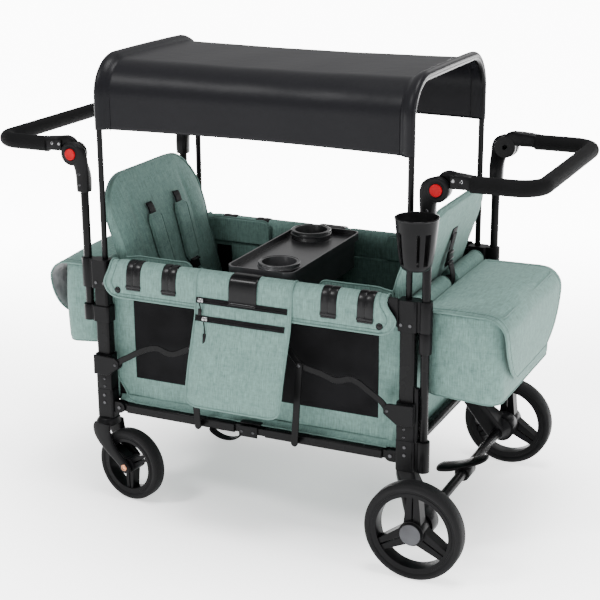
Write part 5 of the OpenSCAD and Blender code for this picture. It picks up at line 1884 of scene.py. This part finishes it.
class WAGON_OT_braces(bpy.types.Operator):
    """Wavy side braces with their eyes, rivets and corner plates"""

    bl_idname = "wagon.braces"
    bl_label = "Side braces"

    waves = {
        "front": [(330, 325), (315, 337), (294, 349), (274, 361), (256, 370), (238, 377), (226, 379.6),
                  (214, 379), (203, 375), (191, 371.6), (180, 372), (168, 376), (155, 383), (142, 389.5),
                  (130, 396), (99, 429), (50, 468), (0, 507)],
        "rear": [(330, 325), (317, 341), (305, 350), (286, 362), (268, 374), (253, 380), (241, 380.8),
                 (230, 377), (219, 373.6), (207, 374), (192, 379), (177, 384), (155, 388), (130, 396),
                 (99, 429), (50, 468), (0, 507)],
    }
    plane = {"front": 240.25, "rear": 244.25}

    def execute(self, context):
        for end, s in ENDS.items():
            path = Path(smooth_line([(x, 0, z) for x, z in self.waves[end]], 6))
            for side, t in SIDES.items():
                y = t * self.plane[end]

                def place(u, v):
                    p, way = path.at(v), path.way(v, 0.006)
                    return s * (p.x + way.z * (u - 0.5) * 14), y, p.z - way.x * (u - 0.5) * 14

                bm = facing(cloth_grid(6, 150, place), (0, t, 0))
                obj = piece(f"{end}_{side}_brace", bm, "coat", f"{end}_braces", sharp=50)
                thick(obj, 3.4, 0.0)
                bevelled(obj, 1.6, 4)
                bm = bmesh.new()
                for x, z in ((330, 325), (130, 396), (0, 507)):
                    turned(bm, [(-1.75, 0), (-1.75, 8.2), (-1.2, 9), (1.2, 9), (1.75, 8.2), (1.75, 0)],
                           (s * x, y, z), (0, t, 0), 28)
                piece(f"{end}_{side}_brace_eyes", bm, "coat", f"{end}_braces")
                screw(f"{end}_{side}_link_rivet", (s * 130, t * 251.2, 395.5), (0, t, 0), 4.2, f"{end}_links")
                self.corner(end, side, s, t)
            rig.replaces(obj, f"{end}_braces")
        return {"FINISHED"}

    def corner(self, end, side, s, t):
        """Slanting plate of the collar, outside the end of the brace."""
        out = self.plane[end] + 2.2
        bm = plate(bmesh.new(), [(s * x, z) for x, z in ((321, 333), (330, 341), (386, 343), (387, 297),
                                                         (351, 297), (322, 318))],
                   t * out, t * (out + 3.0))
        obj = piece(f"{end}_{side}_corner_plate", bm, "moulding", f"{end}_end")
        bevelled(obj, 1.3, 3)
        screw(f"{end}_{side}_corner_screw", (s * 330, t * (out + 3.2), 325), (0, t, 0), 3.4, f"{end}_end")
        for z in (285, 267):
            screw(f"{end}_{side}_sleeve_screw_{z}", (s * 364, t * 237.6, z), (0, t, 0), 3.0, f"{end}_end")
        bm = bmesh.new()
        block(bm, (s * 367, t * (237.5 + out) / 2, 320), (38, out - 236, 44), 2.0, 3)
        block(bm, (s * POST_X, t * SIDE_Y, 278), (38.6, 30.6, 41), 1.6, 3)
        piece(f"{end}_{side}_corner_spacer", bm, "moulding", f"{end}_end")
        if end == "rear":
            self.guide(side, t)

    def guide(self, side, t):
        """Wing of the upper bracket beside the rail, and the sleeve and web that hold the handle tube."""
        outline = [(325, 541), (325, 564), (329, 569), (347, 569), (347, 505), (340, 512)]
        obj = piece(f"rear_{side}_bracket_wing", plate(bmesh.new(), outline, t * 233.4, t * 238.2),
                    "moulding", "rear_end")
        bevelled(obj, 1.6, 3)
        bm = turned(bmesh.new(),
                    [(0, 9.4), (0, 12.6), (1.4, 13.6), (43, 13.6), (45.4, 12.4), (45.4, 9.4), (0, 9.4)],
                    (HANDLE_X, t * SIDE_Y, 452.5), (0, 0, 1), 40)
        block(bm, (388.6, t * 228, 318), (8.2, 13, 120), 2.0, 3)
        piece(f"rear_{side}_tube_sleeve", bm, "moulding", "rear_end")


class WAGON_OT_lower_rails(bpy.types.Operator):
    """Hinge plates in the middle of the bottom rails and the pull loop"""

    bl_idname = "wagon.lower_rails"
    bl_label = "Lower rail fittings"

    def execute(self, context):
        for side, t in SIDES.items():
            bm = bmesh.new()
            block(bm, (-1.5, t * 232.9, 215.5), (45, 2.8, 26), 1.2, 3)
            block(bm, (0, t * 215.5, 231.2), (50, 20, 5.0), 1.6, 3)
            piece(f"{side}_rail_hinge", bm, "moulding", "rear_bottom_rails")
            for x in (-17, 11):
                screw(f"{side}_rail_hinge_screw_{x}", (x, t * 234.4, 214.5), (0, t, 0), 3.4,
                      "rear_bottom_rails")
        line = smooth_line([(-97, -226, 208), (-92, -226, 200), (-72, -226, 190), (-48, -226, 188.6),
                            (-26, -226, 197), (-21, -226, 207)], 8)
        ribbon("pull_loop", line, (0, 1, 0), 22, "webbing", "front_bottom_rails", thickness=2.2)
        return {"FINISHED"}


class WAGON_OT_casters(bpy.types.Operator):
    """Rounded forks of the front casters with their axle bolts"""

    bl_idname = "wagon.casters"
    bl_label = "Caster forks"

    def execute(self, context):
        for side, t in SIDES.items():
            place = Matrix.Translation((-POST_X, t * SIDE_Y, 0)) @ Matrix.Rotation(CASTER_TURN, 4, "Z")
            body = f"{side}_caster"
            bm = bmesh.new()
            lofted(bm, [(190.4, 0, 0, 19, 20), (188, 0, 0, 22, 24), (181, -2, 0, 24.5, 28),
                        (174.5, -2, 0, 25, 30), (172.5, -1, 0, 23.5, 29)],
                   2, 44, 2.5)
            for w in (-1, 1):
                arm = [(178, -1, 24.2, 22, 5.2), (168, -3, 25, 24.5, 5.4), (150, 0, 25.4, 24.5, 5.6),
                       (132, 10, 25.6, 22.5, 5.8), (114, 28, 25.8, 20, 5.9), (98, 47, 25.8, 17.5, 6),
                       (86, 60, 25.6, 15.5, 6), (76, 64, 25.2, 13, 5.4), (69.5, 64.5, 25, 7, 4)]
                lofted(bm, [(z, x, w * y, a, b) for z, x, y, a, b in arm], 2, 36, 3.0)
            bmesh.ops.transform(bm, matrix=place, verts=bm.verts)
            obj = piece(f"{side}_fork", bm, "moulding", body, sharp=50)
            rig.replaces(obj, f"{side}_caster_fork")
            for w in (-1, 1):
                bm = turned(bmesh.new(),
                            [(-2, 7.5), (0.4, 7.5), (1.2, 6.6), (1.2, 5.4), (0.4, 5.0), (0.3, 0)],
                            place @ Vector((63, w * 31.4, 84)), place.to_3x3() @ Vector((0, w, 0)), 32)
                piece(f"{side}_axle_bolt_{'inner' if w * t < 0 else 'outer'}", bm, "bolt", body, sharp=30)
            bm = turned(bmesh.new(), [(-33, 4.8), (33, 4.8)], place @ Vector((63, 0, 84)),
                        place.to_3x3() @ Vector((0, 1, 0)), 24)
            piece(f"{side}_caster_axle", bm, "dark_steel", body)
            bm = turned(bmesh.new(), [(186, 7.9), (190, 7.9), (226, 7.9), (227, 6.5), (227, 0)],
                        (-POST_X, t * SIDE_Y, 0), (0, 0, 1), 32)
            piece(f"{side}_caster_stem", bm, "dark_steel", body)
        return {"FINISHED"}


class WAGON_OT_running_gear(bpy.types.Operator):
    """Curved brake pedal and the grey caps of the rear wheels"""

    bl_idname = "wagon.running_gear"
    bl_label = "Pedal and hub caps"

    def execute(self, context):
        axle = Vector((423, 0, 106))
        bm = bmesh.new()
        rocker = [(-66, 0, -3, 8, 3.4), (-63, 0, -2.5, 15, 6), (-55, 0, -1, 21.5, 7.6), (-36, 0, 3, 24, 8),
                  (-16, 0, 9, 24.5, 7.4), (4, 0, 17, 24.5, 7.8), (24, 0, 26, 24.5, 7), (40, 0, 33, 22, 6.2),
                  (49, 0, 37, 15, 4.6), (52, 0, 38, 8, 2.4)]
        lofted(bm, [(axle.x + x, y, axle.z + z, a, b) for x, y, z, a, b in rocker], 0, 40, 2.6)
        turned(bm, [(-24, 11.2), (-24, 16.2), (-22.5, 17.4), (22.5, 17.4), (24, 16.2), (24, 11.2)], axle,
               (0, 1, 0), 44)
        obj = piece("brake_rocker", bm, "moulding", "brake", sharp=45)
        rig.replaces(obj, "brake_pedal")
        bm = bmesh.new()
        for run in range(7):
            for x, z in ((-55 + 5.2 * run, 5.6 + 0.95 * run), (17 + 4.6 * run, 30.6 + 1.9 * run)):
                block(bm, axle + Vector((x, 0, z)), (1.8, 30, 1.8), 0.6, 2)
        piece("brake_rocker_ribs", bm, "moulding", "brake")
        for side, t in SIDES.items():
            low, high = (Vector(corner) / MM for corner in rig.box(f"{side}_rear_rim"))
            face = max(abs(low.y), abs(high.y))
            bm = turned(bmesh.new(),
                        [(-3, 22.6), (0.3, 22.6), (1.0, 21.9), (1.3, 20.5), (1.35, 10), (1.35, 0)],
                        (423, t * face, 106), (0, t, 0), 56)
            piece(f"{side}_hub_cap", bm, "cap", f"{side}_rear_wheel", sharp=50)
        return {"FINISHED"}


class WAGON_OT_cup_holder(bpy.types.Operator):
    """Slotted cup holder clamped to the handle tube"""

    bl_idname = "wagon.cup_holder"
    bl_label = "Cup holder"

    def execute(self, context):
        centre, foot = (HANDLE_X, -285.0), 649.0
        path = Path(smooth_line([(0, 0, 0), (0, 10, 0), (0, 20, 0), (1.5, 25.5, 0), (7, 30, 0), (17, 33.2, 0),
                                 (40, 36.8, 0), (72, 40.2, 0), (102, 43.2, 0), (106, 43.6, 0)], 4))

        def place(u, v):
            p, a = path.at(v), 2 * math.pi * u
            radius = max(p.y, 0.05)
            return centre[0] + radius * math.cos(a), centre[1] + radius * math.sin(a), foot + p.x

        bm = cloth_grid(120, 80, place)
        bmesh.ops.remove_doubles(bm, verts=bm.verts, dist=0.02)
        slots = []
        for face in bm.faces:
            c = face.calc_center_median()
            a = math.degrees(math.atan2(c.y - centre[1], c.x - centre[0])) % 90
            if 14 < c.z - foot < 80 and (20 < a < 31 or 46 < a < 63):
                slots.append(face)
        bmesh.ops.delete(bm, geom=slots, context="FACES")
        bmesh.ops.recalc_face_normals(bm, faces=bm.faces)
        if sum(f.normal.dot(f.calc_center_median() - Vector((*centre, foot + 50))) for f in bm.faces) < 0:
            bmesh.ops.reverse_faces(bm, faces=bm.faces)
        obj = piece("cup_holder_cup", bm, "moulding", "rear_end", sharp=50)
        thick(obj, 3.0)
        bevelled(obj, 0.8, 2)
        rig.replaces(obj, "cup_holder")
        lip = [(centre[0] + 42.6 * math.cos(a), centre[1] + 42.6 * math.sin(a), foot + 105)
               for a in np.linspace(0, 2 * math.pi, 64, False)]
        cordlike("cup_holder_lip", lip, 4.0, "gloss", "rear_end", closed=True)
        bm = turned(bmesh.new(), [(0, 9.4), (0, 13), (1.5, 14.4), (32, 14.4), (33.5, 13), (33.5, 9.4)],
                    (HANDLE_X, -SIDE_Y, 662), (0, 0, 1), 36)
        block(bm, (HANDLE_X, -242, 679), (17, 18, 30), 2.0, 3)
        piece("cup_holder_clamp", bm, "moulding", "rear_end")
        screw("cup_holder_screw", (411.2, -240, 679), (1, 0, 0), 3.6, "rear_end")
        return {"FINISHED"}


class WAGON_OT_tray_rings(bpy.types.Operator):
    """Ridges around the cups of the tray"""

    bl_idname = "wagon.tray_rings"
    bl_label = "Cup rings"

    def execute(self, context):
        low, high = (Vector(corner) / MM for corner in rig.box("tray"))
        middle = (low.x + high.x) / 2
        for side, t in SIDES.items():
            bm = bmesh.new()
            for drop, out in ((1.2, 45.6), (9.0, 47.0)):
                ring = [(high.z - drop + 2.2 * math.sin(a), out + 2.2 * math.cos(a) - 1.2)
                        for a in np.linspace(0, 2 * math.pi, 13)]
                turned(bm, ring, (middle - t * 24, t * 136, 0), (0, 0, 1), 64)
            piece(f"{side}_cup_ridges", bm, "tray", "tray", sharp=60)
        return {"FINISHED"}


# Panel and run

OPERATORS = [kind for kind in list(globals().values())
             if isinstance(kind, type) and kind.__name__.startswith("WAGON_OT_")]


class WAGON_PT_panel(bpy.types.Panel):
    """Pieces of the wagon and their sizes"""

    bl_idname = "WAGON_PT_panel"
    bl_label = "Stroller wagon"
    bl_space_type = "VIEW_3D"
    bl_region_type = "UI"
    bl_category = "Wagon"

    def draw(self, context):
        for group in (context.scene.wagon_colours, context.scene.wagon_sizes):
            for key in group.__annotations__:
                self.layout.prop(group, key)
        for kind in OPERATORS:
            self.layout.operator(kind.bl_idname)


def register():
    for kind in (WagonColours, WagonSizes, *OPERATORS, WAGON_PT_panel):
        bpy.utils.register_class(kind)
    bpy.types.Scene.wagon_colours = bpy.props.PointerProperty(type=WagonColours)
    bpy.types.Scene.wagon_sizes = bpy.props.PointerProperty(type=WagonSizes)


def unregister():
    del bpy.types.Scene.wagon_colours
    del bpy.types.Scene.wagon_sizes
    for kind in (WAGON_PT_panel, *reversed(OPERATORS), WagonSizes, WagonColours):
        bpy.utils.unregister_class(kind)


def main():
    register()
    for kind in OPERATORS:
        group, action = kind.bl_idname.split(".")
        getattr(getattr(bpy.ops, group), action)()
    sizes = {"cad": CAD_BOX, "visual": [list(corner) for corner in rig.bounds()]}
    with open("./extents.json", "w") as out:
        json.dump(sizes, out)


if __name__ == "__main__":
    main()
